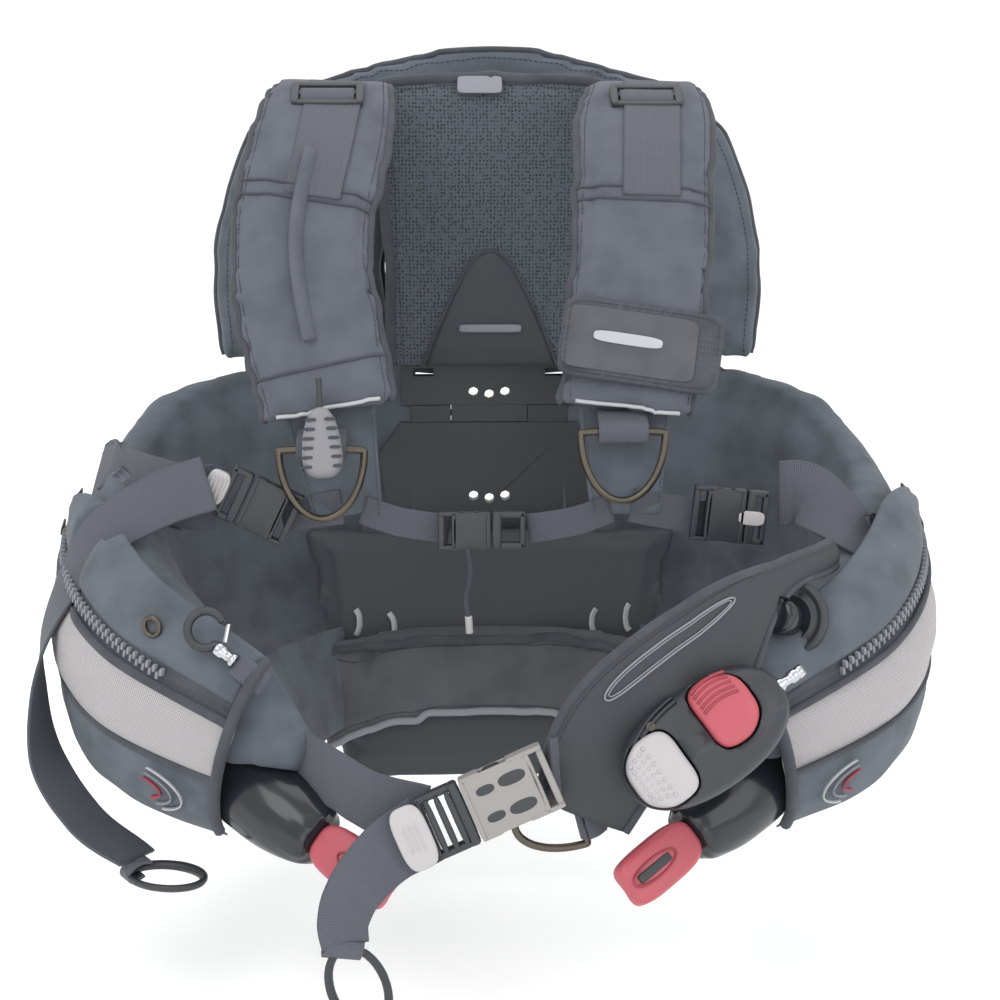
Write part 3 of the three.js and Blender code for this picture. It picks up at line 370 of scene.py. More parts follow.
# Bronze-grey stainless wire, drawn and tumbled.
WIRE = Look("tumbled stainless wire", "#5b554d", 0.38, metallic=1.0, ior=2.5)
WIRE.bump(WIRE.noise(WIRE.place(), 900), 0.2, 0.0001)
# Chrome-plated brass of the hose nipple and hook eye.
CHROME = Look("chrome plate", "#b4b6ba", 0.16, metallic=1.0, ior=2.5)
# Reflective tape and piping: pale grey with glass beads.
REFLECTIVE = Look("glass bead reflective tape", "#a3a6a9", 0.35, **{"Coat Weight": 0.3})
# Pale stitching thread.
THREAD = Look("grey bonded thread", "#7d8087", 0.7)
DARK_THREAD = Look("black bonded thread", "#30333a", 0.7)
# Red printed arc.
RED_TAPE = Look("red trim", "#933640", 0.5)


# ---- Building pieces ----
def linked(name, mesh, look, body, nodes=()):
    piece = bpy.data.objects.new(name.replace(" ", "_"), mesh)
    scene.collection.objects.link(piece)
    mesh.materials.clear()
    mesh.materials.append(look.material)
    for face in mesh.polygons:
        face.use_smooth = True
    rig.ride(piece, body)
    if nodes:
        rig.replaces(piece, *nodes)
    return piece


def finished(name, shape, look, body="vest", nodes=(), flat=False):
    """A builder's mesh, in millimetres, as a piece of the vest."""
    bmesh.ops.transform(shape, matrix=Matrix.Scale(METRE, 4), verts=shape.verts)
    bmesh.ops.recalc_face_normals(shape, faces=shape.faces)
    mesh = bpy.data.meshes.new(name)
    shape.to_mesh(mesh)
    shape.free()
    piece = linked(name, mesh, look, body, nodes)
    if flat:
        for face in mesh.polygons:
            face.use_smooth = False
    return piece


def cloth_grid(across, down, place, size=(100, 100), weld=0.0):
    """A sheet of quads whose points go where place(u, v) says; its UV counts metres of cloth."""
    shape = bmesh.new()
    layer = shape.loops.layers.uv.new("cloth")
    bmesh.ops.create_grid(shape, x_segments=across, y_segments=down, size=0.5)
    for face in shape.faces:
        for loop in face.loops:
            u, v = loop.vert.co.x + 0.5, loop.vert.co.y + 0.5
            loop[layer].uv = (u * size[0] * METRE, v * size[1] * METRE)
    for vert in shape.verts:
        vert.co = place(vert.co.x + 0.5, vert.co.y + 0.5)
    if weld:
        bmesh.ops.remove_doubles(shape, verts=shape.verts, dist=weld)
    return shape


def thickened(shape, thick):
    """A sheet with its thickness; a corner where faces almost fold over is held to it."""
    bmesh.ops.recalc_face_normals(shape, faces=shape.faces)
    sheet = BVHTree.FromBMesh(shape)
    bmesh.ops.solidify(shape, geom=shape.faces, thickness=thick)
    for vert in shape.verts:
        near, _, _, distance = sheet.find_nearest(vert.co)
        if distance > 1.5 * abs(thick):
            vert.co = near + (vert.co - near) * abs(thick) / distance
    return shape


def merged(shapes):
    """Several builders' meshes in one."""
    whole = bmesh.new()
    for shape in shapes:
        mesh = bpy.data.meshes.new("part")
        shape.to_mesh(mesh)
        shape.free()
        whole.from_mesh(mesh)
        bpy.data.meshes.remove(mesh)
    return whole


def rings_along(points, steps, closed=False):
    """Places along a line with two directions across it that don't twist."""
    if closed:
        centres = [points[i * len(points) // steps] for i in range(steps)]
        centres.append(centres[0])
    else:
        line = Line(points)
        centres = [line.at(i / steps) for i in range(steps + 1)]
    rings = []
    side = None
    for i, centre in enumerate(centres):
        if closed:
            ahead = centres[(i + 1) % steps] - centres[(i - 1) % steps]
        else:
            ahead = centres[min(i + 1, steps)] - centres[max(i - 1, 0)]
        ahead.normalize()
        if side is None:
            side = ahead.orthogonal()
        side = (side - ahead * side.dot(ahead)).normalized()
        rings.append((centre, side.copy(), ahead.cross(side)))
    return rings


def tube(points, radius, steps=24, sides=8, closed=False, flat=1.0):
    """A round cord or bar along a line; radius may depend on the share of its length."""
    rings = rings_along(points, steps, closed)
    radius_at = radius if callable(radius) else lambda share: radius

    def place(u, v):
        centre, one, other = rings[round(u * steps)]
        turn = 2 * math.pi * v
        return centre + (one * math.cos(turn) + other * math.sin(turn) * flat) * radius_at(u)

    length = sum((a[0] - b[0]).length for a, b in zip(rings, rings[1:]))
    shape = cloth_grid(steps, sides, place, (length, 2 * math.pi * radius_at(0.5)), weld=1e-3)
    if not closed:
        bmesh.ops.holes_fill(shape, edges=[e for e in shape.edges if e.is_boundary], sides=0)
    return shape


def moulded(half, profile, square=2.0, steps=48, form=None):
    """A moulding of oval or squarish outline. Each row of its profile is how far it lies in from
    the outline, or None at the middle, and its height."""

    def place(u, v):
        inset, z = profile[round(v * (len(profile) - 1))]
        if inset is None:
            spot = Vector((0, 0, z))
        else:
            turn = 2 * math.pi * u
            c, s = math.cos(turn), math.sin(turn)
            x = math.copysign(abs(c) ** (2 / square), c) * (half[0] - inset)
            y = math.copysign(abs(s) ** (2 / square), s) * (half[1] - inset)
            spot = Vector((x, y, z))
        return form(spot) if form else spot

    return cloth_grid(steps, len(profile) - 1, place, weld=1e-3)


def rounded(low, high, radius=1.0):
    """A profile of a slab with rounded edges."""
    arc = [(radius * (1 - math.sin(a)), radius * (1 - math.cos(a))) for a in (0, 0.4, 0.8, 1.2, math.pi / 2)]
    below = [(inset, low + rise) for inset, rise in arc]
    above = [(inset, high - rise) for inset, rise in reversed(arc)]
    return [(None, low), *below, *above, (None, high)]


def bar(half, low, high, place, radius=1.0, square=7.0):
    """A squarish slab with rounded edges at a place."""
    shape = moulded(half, rounded(low, high, radius), square, 40)
    bmesh.ops.transform(shape, matrix=place, verts=shape.verts)
    return shape


def moved(shape, place):
    bmesh.ops.transform(shape, matrix=place, verts=shape.verts)
    return shape


def shift(x=0, y=0, z=0):
    return Matrix.Translation((x, y, z))


def webbing(points, width, facing, thick=2.2, steps=60, wave=0.0, rows=6):
    """A flat strap: its ends, edges and thickness are real, and it can ripple a little."""
    line = Line(points)
    width_at = width if callable(width) else lambda share: width
    facing_at = facing if callable(facing) else lambda share: Vector(facing)
    lanes = [-1, -0.94, -0.5, 0, 0.5, 0.94, 1]

    def place(u, v):
        t = line.share(u)
        ahead = line.along(t)
        wide = facing_at(u).cross(ahead).normalized()
        out = wide.cross(ahead)
        lane = lanes[round(v * rows)]
        ripple = wave * noise.noise(Vector((u * 9, lane * 0.7, line.length * 0.01)))
        return line.point(t) + wide * (lane * width_at(u) / 2) + out * ripple

    return thickened(cloth_grid(steps, rows, place, (line.length, width_at(0.5))), thick)


def stitches(points, pitch=3.4, long=2.4, radius=0.32):
    """A row of thread, each stitch a short rounded bar just proud of the cloth."""
    line = Line(points)
    count = max(2, int(line.length / pitch))
    shapes = []
    for i in range(count):
        t = line.share((i + 0.5) / count)
        centre, ahead = line.point(t), line.along(t)
        shapes.append(tube([centre - ahead * long / 2, centre, centre + ahead * long / 2], radius, 2, 5))
    return merged(shapes)


# ---- Soft pieces: the CAD solid filled with air by a cloth simulation ----
def copy_of(node, name):
    """A welded copy of a CAD node's mesh."""
    shape = bmesh.new()
    shape.from_mesh(frame["nodes"][node].data)
    bmesh.ops.remove_doubles(shape, verts=shape.verts, dist=1e-5)
    bmesh.ops.recalc_face_normals(shape, faces=shape.faces)
    mesh = bpy.data.meshes.new(name)
    shape.to_mesh(mesh)
    shape.free()
    piece = bpy.data.objects.new(name, mesh)
    scene.collection.objects.link(piece)
    return piece


def applied(piece):
    """The piece with its modifiers made real."""
    depsgraph = bpy.context.evaluated_depsgraph_get()
    mesh = bpy.data.meshes.new_from_object(piece.evaluated_get(depsgraph))
    piece.modifiers.clear()
    piece.data = mesh
    return piece


def puffed(piece, pressure, stiffness=12):
    """One short cloth run with air pressure inside and no weight."""
    cloth = piece.modifiers.new("cloth", "CLOTH")
    cloth.settings.quality = 5
    cloth.settings.mass = 0.3
    for name in ("tension_stiffness", "compression_stiffness"):
        setattr(cloth.settings, name, stiffness)
    cloth.settings.shear_stiffness = 4
    cloth.settings.bending_stiffness = 0.4
    cloth.settings.use_pressure = True
    cloth.settings.uniform_pressure_force = pressure
    cloth.settings.effector_weights.gravity = 0
    cloth.point_cache.frame_start = 1
    cloth.point_cache.frame_end = 20
    for number in range(1, 21):
        scene.frame_set(number)
    applied(piece)
    scene.frame_set(1)


def folds(place, scale, depth):
    """Shallow creases: ridges of stretched noise."""
    spot = Vector((place.x * scale[0], place.y * scale[1], place.z * scale[2]))
    return depth * (abs(noise.noise(spot)) * 2 - 0.5) + 0.3 * depth * noise.noise(spot * 3.1)


KEPT_FULL = 0.85  # how much of any sinking in is given back, so that bound edges stay full


def plump(node, name, look, fill, pressure=4.0, cap=7.0, voxel=0.0055, crease=(9, 9, 22), depth=1.2):
    """A soft solid remade as filled cloth, never far from the CAD solid's own faces."""
    piece = copy_of(node, name)
    remesh = piece.modifiers.new("remesh", "REMESH")
    remesh.mode = "VOXEL"
    remesh.voxel_size = voxel
    applied(piece)
    rest = [(vert.co.copy(), vert.normal.copy()) for vert in piece.data.vertices]
    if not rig.quick():
        puffed(piece, pressure)
    depth_m = depth * METRE
    for vert, (start, outward) in zip(piece.data.vertices, rest):
        step = vert.co - start
        step -= outward * min(0, step.dot(outward)) * KEPT_FULL
        if step.length > cap * METRE:
            step *= cap * METRE / step.length
        vert.co = start + step
    normals = [vert.normal.copy() for vert in piece.data.vertices]
    for vert, normal in zip(piece.data.vertices, normals):
        vert.co += normal * folds(vert.co, crease, depth_m)
    smooth = piece.modifiers.new("smooth", "SUBSURF")
    smooth.levels = smooth.render_levels = 1
    applied(piece)
    mesh = piece.data
    bpy.data.objects.remove(piece)
    made = linked(name, mesh, look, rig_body(node), [node])
    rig.padded(made, fill)
    return made


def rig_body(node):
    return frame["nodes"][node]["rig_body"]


def softened(node, name, look, levels=2, bevel=0.0):
    """A CAD solid with its edges rounded, for a rigid moulding."""
    piece = copy_of(node, name)
    if bevel:
        edge = piece.modifiers.new("bevel", "BEVEL")
        edge.width = bevel * METRE
        edge.segments = 3
        edge.limit_method = "ANGLE"
        edge.angle_limit = math.radians(35)
    else:
        smooth = piece.modifiers.new("smooth", "SUBSURF")
        smooth.levels = smooth.render_levels = levels
    applied(piece)
    mesh = piece.data
    bpy.data.objects.remove(piece)
    made = linked(name, mesh, look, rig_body(node), [node])
    if bevel:
        for face in mesh.polygons:
            face.use_smooth = False
    return made


def surface_of(*pieces):
    """The faces of pieces for finding where something lies on them, in millimetres."""
    verts, faces = [], []
    for piece in pieces:
        start = len(verts)
        verts += [vert.co / METRE for vert in piece.data.vertices]
        faces += [[start + i for i in face.vertices] for face in piece.data.polygons]
    return BVHTree.FromPolygons(verts, faces)


def laid(points, surface, lift, count=40):
    """A line's points moved onto a surface and lifted off it."""
    line = Line(points)
    result = []
    for i in range(count + 1):
        spot = line.at(i / count)
        place, normal, _, _ = surface.find_nearest(spot)
        result.append(place + normal * lift)
    return result


# ---- Back: plate, pads and air cell ----
softened("backplate_upper", "plate upper half", BLACK_ACETAL, bevel=1.2)
softened("backplate_lower", "plate lower half", BLACK_ACETAL, bevel=1.2)
softened("backplate_hinge_pin", "plate hinge pin", WIRE, bevel=0.4)
bladder = plump("back_air_cell", "back air cell", SHELL, 0.35, cap=4, depth=1.6)
back_pad = plump("back_pad", "back pad", AIR_MESH, 0.7, cap=4, depth=0.6)
waist_panel = plump("waist_panel", "waist panel", LINER, 0.5, cap=5, depth=1.2)
lumbar = plump("lumbar_pad", "lumbar pad", NEOPRENE, 0.7, cap=5, depth=0.5)

PAD_BOX = {"half": 88, "bottom": 60, "top": 286, "front": -34}


def pad_rim(share):
    """The back pad's edge, up one side, over the top and down the other."""
    low, high, half, front = PAD_BOX["bottom"], PAD_BOX["top"], PAD_BOX["half"], PAD_BOX["front"]
    rise, over = high - low, 2 * half
    run = share * (2 * rise + over)
    if run < rise:
        x, z = -mix(half - 10, half, run / rise), low + run
    elif run < rise + over:
        x, z = -half + run - rise, high
    else:
        down = run - rise - over
        x, z = mix(half, half - 10, down / rise), high - down
    lean = -6 * ramp((z - low) / rise, 0.75, 1)
    return Vector((x, front + lean - 1, z - 6 * (x / half) ** 2 * (z - low) / rise))


rim = [pad_rim(i / 40) for i in range(41)]
finished("back pad rolled edge", tube(laid(rim, surface_of(back_pad), 0.8, 120), 4.2, 160, 10), BINDING_AND_SLOT_SHADE)
inner_rim = [spot + Vector((-11 * math.copysign(min(1, abs(spot.x) / 60), spot.x), -2,
                            -9 if spot.z > 262 else 0)) for spot in rim]
finished("back pad edge seam", stitches(laid(inner_rim, surface_of(back_pad), 0.2)), DARK_THREAD)


pad_front = surface_of(back_pad)


def on_back_pad(x, z, lift):
    """A place straight in front of the back pad's face."""
    hit, _, _, _ = pad_front.ray_cast(Vector((x, -90, z)), -FRONT)
    return Vector((x, (hit.y if hit else PAD_BOX["front"]) - lift, z))


def back_yoke(u, v):
    """The smooth pointed panel at the foot of the back pad."""
    z = mix(62, 150, v)
    half = 46 * (1 - v) ** 0.7 + 6
    x = (u * 2 - 1) * half
    return on_back_pad(x, z, 1.4 + 1.5 * (1 - (u * 2 - 1) ** 2))


finished("back pad yoke", thickened(cloth_grid(16, 16, back_yoke), 1.2), LINER)
yoke_edge = [back_yoke(0, v / 8) for v in range(9)] + [back_yoke(1, 1 - v / 8) for v in range(9)]
finished("back pad yoke edge", tube(yoke_edge, 1.4, 40, 6), BINDING_AND_SLOT_SHADE)
finished("yoke plain bar", bar((24, 3.2), 0, 0.8, frame_at(on_back_pad(0, 92, 4), (1, 0, 0), FRONT)), THREAD)
finished("collar tab", bar((17, 7), 0, 1.2, frame_at(on_back_pad(-8, 276, 5), (1, 0, 0), (0, -1, 0.4))), THREAD)

# Air cell edge binding
CELL_ARCH = [(146, 0, 67), (148, 0, 150), (118, 0, 228), (60, 0, 266), (0, 0, 274)]
arch = Line([sided(-1, p) for p in CELL_ARCH[:-1]] + [Vector(p) for p in reversed(CELL_ARCH)])


def arch_edge(share, lane):
    t = arch.share(share)
    centre, along = arch.point(t), arch.along(t)
    bridge = ramp(centre.z, 205, 274)
    inward = Vector((along.z, 0, -along.x))
    place = centre + inward * lane * mix(66, 31, bridge)
    place.y = mix(10, -9, bridge)
    return place


bladder_face = surface_of(bladder)
for lane, label in ((1, "one"), (-1, "other")):
    rim = [arch_edge(i / 40, lane) for i in range(41)]
    finished("air cell binding " + label, tube(laid(rim, bladder_face, 0.6, 80), 2.6, 120, 8), BINDING_AND_SLOT_SHADE)
seam = laid([arch_edge(i / 40, -0.86) - Vector((0, 20, 0)) for i in range(41)], bladder_face, 0.3, 80)
finished("air cell seam", stitches(seam, pitch=4), DARK_THREAD)

# Lining of the wings between the back pad and the side cells
WING_TOP = {"right": (-192, 84), "left": (206, 96)}
for name, side in SIDES.items():
    reach, top = WING_TOP[name]

    def wing(u, v):
        """Runs out from the plate's edge; its top falls away towards the side cell."""
        x = mix(58 * side, reach * mix(1.12, 1, v), u)
        z = mix(-135, mix(76, top - 58 * u**2, ramp(u, 0, 0.4)), v)
        ripple = 1.6 * noise.noise(Vector((u * 5, v * 4, side)))
        return Vector((x, mix(-14, 6, math.sin(math.pi * u)) + ripple + 6 * v, z))

    finished("wing lining " + name, thickened(cloth_grid(36, 30, wing), 3), SHELL)
    edge = [wing(i / 24, 1) for i in range(25)]
    finished("wing binding " + name, tube(edge, 3, 60, 8), BINDING_AND_SLOT_SHADE)

# Lining that closes the side between the lumbar pad and the side cell
LINING_CORNERS = [Vector((116, -62, -138)), Vector((116, -100, -208)), Vector((166, -226, -122)),
                  Vector((140, -284, -196))]


def side_lining(side):
    def place(u, v):
        inner = LINING_CORNERS[0].lerp(LINING_CORNERS[1], v)
        outer = LINING_CORNERS[2].lerp(LINING_CORNERS[3], v)
        spot = inner.lerp(outer, u)
        spot.x += 8 * math.sin(math.pi * u)
        spot.y += 1.5 * noise.noise(Vector((u * 4, v * 5, side)))
        return sided(side, spot)

    return thickened(cloth_grid(30, 24, place), 2.5)


for name, side in SIDES.items():
    finished("side lining " + name, side_lining(side), SHELL)

# Lumbar pad trim
lumbar_face = surface_of(lumbar)


def lumbar_line(share, height):
    a = share * 2 - 1
    z = mix(-212, -140, height) - 16 * a * a * (1 - height) - 6 * a * a * height
    return Vector((a * 128 * 0.98, -82 - 34 * a**4, z))


for height, radius, look, label in ((0.99, 3.4, BINDING_AND_SLOT_SHADE, "top edge"), (0.01, 3.2, THREAD, "bottom edge")):
    line = laid([lumbar_line(i / 24, height) for i in range(25)], lumbar_face, 0.5)
    finished("lumbar pad " + label, tube(line, radius, 90, 8), look)
for height in (0.86, 0.13):
    line = laid([lumbar_line(i / 24, height) for i in range(25)], lumbar_face, 0.2)
    finished("lumbar pad seam", stitches(line, 3.2), DARK_THREAD)
panel_face = surface_of(waist_panel)
for x, z, bow in ((-104, -134, 1), (-78, -137, 1), (107, -131, -1), (82, -135, -1)):
    arc = [Vector((x + bow * 4 * math.cos(a * 0.9), -80, z + 11 * math.sin(a * 0.9))) for a in (-1.5, -0.75, 0,
        0.75, 1.5)]
    finished("liner grip arc", tube(laid(arc, panel_face, 0.6, 12), 3.2, 16, 8, flat=0.4), REFLECTIVE)

# ---- Cylinder band and handle ----
band = [Vector((0, 92, 76)) + Vector((math.sin(a), math.cos(a), 0)) * 92.6 for a in [mix(0.34, 2 * math.pi - 0.34,
    i / 60) for i in range(61)]]
finished("cylinder band",
         webbing(band, 50, lambda s: Vector((-math.sin(mix(0.34, 5.94, s)), -math.cos(mix(0.34, 5.94, s)), 0)),
                 steps=120), WEBBING, nodes=["tank_band"])
softened("cam_buckle_frame", "cam buckle", BLACK_ACETAL, bevel=1.0)
softened("cam_lever", "cam lever", BLACK_ACETAL, bevel=0.8)
handle = [(-45, 2, 268), (-31, 16, 271), (0, 22, 273), (31, 16, 271), (45, 2, 268)]
finished("carry handle", webbing(handle, 26, (0, 1, 0), thick=4), WEBBING, nodes=["carry_handle"])

# ---- Side cells and cargo pockets ----
cell_path = Line([(98, 12, -70), (185, 6, -66), (254, -70, -75), (268, -165, -98), (228, -265, -130),
                  (130, -338, -168)])
cell_girth = Line([(22, 130, 0), (28, 128, 100), (40, 115, 200), (46, 105, 300), (48, 85, 400), (36, 60, 500)])


def skin(side, t, angle, lift=0.0):
    """A point of a side cell's outer face, lifted off it; angle 0 faces out and 90 faces up."""
    along = cell_path.along(t)
    out = Vector((-along.y, along.x, 0)).normalized()
    up = along.cross(out)
    up = up if up.z > 0 else -up
    girth = cell_girth.point(t)
    turn = math.radians(angle)
    place = cell_path.point(t) + out * (girth.x + lift) * math.cos(turn) + up * (girth.y + lift) * math.sin(turn)
    return sided(side, place)


CONTROL_PANEL = [(48, -384, -186), (68, -386, -140), (112, -382, -98), (170, -350, -66), (226, -282, -44)]
panel_line = Line(CONTROL_PANEL)
panel_width = Line([(60, 0, 0), (86, 50, 0), (78, 100, 0), (22, 150, 0), (18, 200, 0)])


def on_panel(share, lane, lift=0.0):
    """A point of the control panel's front face; lane runs from -1 to 1 across it."""
    t = panel_line.share(share)
    ahead = panel_line.along(t)
    wide = Vector((mix(0.9, 0.5, share), mix(0.1, 0.4, share), -0.9))
    wide = (wide - ahead * wide.dot(ahead)).normalized()
    out = wide.cross(ahead)
    out = out if out.y < 0 else -out
    crown = 3.5 * (1 - lane * lane)
    lane_shift = -16 * ramp(share, 0.45, 0.72) + 9 * ramp(share, 0.76, 1)
    return panel_line.point(t) + wide * (lane * panel_width.point(share).x / 2 + lane_shift) + out * (crown + lift)


def blocker(shape):
    tree = BVHTree.FromBMesh(shape)
    shape.free()
    return tree


left_block = blocker(thickened(cloth_grid(24, 10, lambda u, v: on_panel(u, (v * 2 - 1) * 1.04)), 4))
TAIL_LINE = [
    (-198, -243, 6),
    (-232, -240, -6),
    (-278, -232, -36),
    (-309, -226, -84),
    (-322, -228, -130),
    (-316, -240, -186),
    (-286, -264, -226),
    (-248, -286, -246),
]


def tail_facing(share):
    """Lies over the lobe at first, and turns to face forward as it falls."""
    ahead = Line(TAIL_LINE).along(share)
    return ahead.cross(Vector((0.15 * share, 0.25 + 0.75 * share, 1.1 - share)))


tail_block = blocker(webbing(TAIL_LINE, 40, tail_facing, thick=3, steps=110))
LIES_OVER = {-1: tail_block, 1: left_block}


def tucked(side, t, spot, gap=3.0):
    """A point of the pocket drawn in where something lies over it."""
    centre = sided(side, cell_path.point(t))
    way = spot - centre
    far = way.length
    hit, _, _, distance = LIES_OVER[side].ray_cast(centre, way.normalized(), far + gap)
    return centre + way.normalized() * (distance - gap) if hit else spot


def pocket_panel(side, t0, t1, a0, a1, bulge, seed):
    def place(u, v):
        t, angle = mix(t0, t1, u), mix(a0, mix(min(a1, 40), a1, ramp(u, 0, 0.4)), v)
        pillow = bulge * (math.sin(math.pi * u) * math.sin(math.pi * v)) ** 0.6
        crease = 2.2 * noise.noise(Vector((u * 7 + seed, v * 3, side))) * math.sin(math.pi * v) ** 0.5
        return tucked(side, t, skin(side, t, angle, pillow + crease))

    height = abs(a1 - a0) * 1.7
    return thickened(cloth_grid(60, 30, place, ((t1 - t0) * 560, height)), 1.2)


def circle_through(p, q, r):
    a, b = q - p, r - p
    normal = a.cross(b)
    to_centre = (normal.cross(a) * b.length_squared + b.cross(normal) * a.length_squared) / (2 * normal.length_squared)
    return p + to_centre, normal.normalized()


def tooth(place, row):
    shape = bmesh.new()
    bmesh.ops.create_cube(shape, size=1)
    size = Matrix.Diagonal((2.1, 4.8, 3.0, 1))
    bmesh.ops.transform(shape, matrix=place @ shift(0, row * 1.9, 0) @ size, verts=shape.verts)
    return shape


cell_faces = {}
for name, side in SIDES.items():
    cell = plump("side_air_cell_" + name, "side air cell " + name, SHELL, 0.4, cap=5, voxel=0.006, depth=1.5)
    cell_faces[name] = surface_of(cell)
    node = ["cargo_pocket_" + name]
    finished("pocket top " + name, pocket_panel(side, 0.5, 0.935, 32, 74, 5, 1.0), SHELL, nodes=node)
    finished("pocket mesh " + name, pocket_panel(side, 0.5, 0.945, -13, 21, 6, 4.0), DRAIN_MESH)
    finished("pocket foot " + name, pocket_panel(side, 0.45, 0.945, -66, -14, 5, 7.0), SHELL)
    finished("zip tape " + name, pocket_panel(side, 0.5, 0.94, 22, 33, -1, 9.0), BINDING_AND_SLOT_SHADE)
    for angle, t0, t1, label in ((20.5, 0.5, 0.94, "below the zip"), (-13.5, 0.46, 0.945, "under the mesh")):
        line = [tucked(side, mix(t0, t1, i / 20), skin(side, mix(t0, t1, i / 20), angle, 1.5)) for i in range(21)]
        finished(f"pocket binding {label} {name}", tube(line, 3.4, 90, 8, flat=0.7), BINDING_AND_SLOT_SHADE)
    line = [tucked(side, 0.94, skin(side, 0.94, mix(-58, 70, i / 20), 1.5)) for i in range(21)]
    finished("pocket front binding " + name, tube(line, 4, 70, 8), BINDING_AND_SLOT_SHADE)
    # Zip chain and slider
    spots = [skin(side, t, 28, -1) for t in (0.56, 0.7, 0.86)]
    centre, normal = circle_through(*spots)
    first, last = (spots[0] - centre), (spots[2] - centre)
    sweep = first.angle(last)
    count = int(sweep * first.length / 3.1)
    teeth = []
    for i in range(count):
        turn = Matrix.Rotation(sweep * i / count, 3, normal)
        arm = turn @ first
        place = frame_at(centre + arm * 1.012, normal.cross(arm), arm)
        teeth.append(tooth(place, 1 if i % 2 else -1))
    finished("zip teeth " + name, merged(teeth), THREAD, flat=True)
    face = first.normalized()
    place = frame_at(spots[0], normal.cross(face), face)
    slider = [bar((6.5, 5), -3.4, 3.4, place, 1.2, 4), bar((9, 3.4), 0, 1.8, place @ shift(-9, 0, 4.4), 0.8, 5)]
    finished("zip slider " + name, merged(slider), WIRE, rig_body("zip_slider_" + name), ["zip_slider_" + name])
    # Printed arcs on the pocket's foot
    for k, look in enumerate((REFLECTIVE, THREAD, RED_TAPE)):
        arc = []
        for i in range(17):
            turn = math.radians(mix(-60, 80, i / 16))
            arc.append(skin(side, 0.86 + 0.012 * (4 - k) * math.cos(turn),
                            -32 + (6 - 1.6 * k) * 2.2 * math.sin(turn), 6.3))
        finished(f"pocket trim arc {k} {name}", tube(arc, 1.6, 40, 6, flat=0.4), look)
    # Weight pouch and its handle
    softened("weight_pouch_" + name, "weight pouch " + name, GLOSS_BLACK, levels=3)
    pouch = frame_at((94 * side, -384, -219), (-0.7 * side, -0.62, -0.33), (0, -1, 0.3))

    def grip(spot):
        hollow = -6 * ramp(spot.x, 20, 33) * (1 - (spot.y / 16) ** 2)
        return spot + Vector((hollow, 0, -1.5 * (spot.x / 35) ** 2))

    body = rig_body("weight_handle_" + name)
    pad = moved(moulded((35, 16.5), rounded(-3.5, 11.5, 4.5), 3.4, 64, grip), pouch)
    finished("pouch handle " + name, pad, RED_NYLON, body, ["weight_handle_" + name])
    finished("pouch handle slot " + name, bar((15, 3), 10, 12, pouch @ shift(8, 0, 0), 0.8), BLACK_ACETAL, body)
    # The rim round the slot is a darker red than the handle: painted shade at the slot's edge.
    finished("pouch handle rim " + name,
             moved(tube([Vector((math.cos(a) * 20 + 8, math.sin(a) * 6,
                                 11.4)) for a in [k * math.pi / 16 for k in range(32)]], 0.9, 32, 6, closed=True),
                                 pouch), RED_PAINTED_SHADE, body)

# ---- Webbing of hips, tails and waist ----
HIP_SHARE = {"right": 0.5, "left": 0.68}
for name, side in SIDES.items():
    over = [skin(1, HIP_SHARE[name] + 0.02 - 0.02 * i, angle, 2.4) for i, angle in enumerate((67, 55, 43))]
    over = [sided(side, p) for p in over]
    over = laid(over, cell_faces[name], 2.6, 6)
    path = [sided(side, (196, -220, -8)), sided(side, (214, -220, -8)), *over]
    facing = lambda s, k=side: sided(k, FRONT.lerp(Vector((0.9, -0.25, 0.35)), s))
    finished("hip webbing " + name, webbing(path, lambda s: mix(46, 38, s), facing, wave=0.8), WEBBING,
             nodes=["hip_webbing_" + name])
finished("loose tail right", webbing(TAIL_LINE, 38, tail_facing, steps=110, wave=1.5), WEBBING,
         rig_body("shoulder_tail_right"), ["shoulder_tail_right"])

WAIST_BUCKLE = frame_at((-24, -405, -174), (-0.918, -0.058, -0.392), (0, -1, 0.1))
waist_clip_end = WAIST_BUCKLE @ Vector((30, 0, 0))
waist_ring_near = (-104, -411.6, -262)
ring_loops = [("waist tail loop", (-102, -415, -254), waist_ring_near, 24, "waist_tail", (0.2, -1, 0.1))]
waist_tail = [waist_clip_end + Vector((0, 1, 0)), (-76, -413, -199), (-96, -422, -220), (-103, -420, -240),
              (-102, -416, -257)]
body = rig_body("waist_tail")
finished(
    "waist tail",
    webbing(waist_tail, lambda s: mix(44, 30, s), lambda s: Vector((0.25 * s, -1, 0.3 * (1 - s))), steps=60,
            wave=1.2),
    WEBBING,
    body,
    ["waist_tail"],
)
WAIST_PATHS = {
    "left": [(26, -393, -152), (40, -380, -150), (58, -370, -150), (84, -352, -152), (112, -330, -158)],
    "right": [(-52, -393, -182), (-84, -384, -176), (-112, -362, -166), (-134, -338, -160)],
}
for name, path in WAIST_PATHS.items():
    across = lambda s, line=Line(path): line.along(line.share(s)).cross(UP)
    finished("waist webbing " + name, webbing(path, 40, across, steps=40, wave=0.8), WEBBING,
             nodes=["waist_webbing_" + name])


# ---- Shoulder straps ----
PAD_POINTS = {
    "right": [(-114, -46, 262), (-116, -92, 272), (-124, -150, 232), (-136, -192, 160), (-116, -226, 50)],
    "left": [(112, -46, 262), (112, -92, 270), (106, -150, 232), (101, -192, 160), (88, -226, 50)],
}
LAYER_END = {"right": Vector((-104, -228, -20)), "left": Vector((88, -228, -20))}
RING_FRAME = {
    "right": frame_at((-121, -240, 27), (1, 0, 0), FRONT),
    "left": frame_at((85, -238, 38), (1, 0, 0), FRONT),
}
OUTER_END = {"right": (-150, -221, -20), "left": (152, -222, -26)}
INNER_END = {"right": Vector((-34, -235, -29)), "left": Vector((20, -235, -29))}


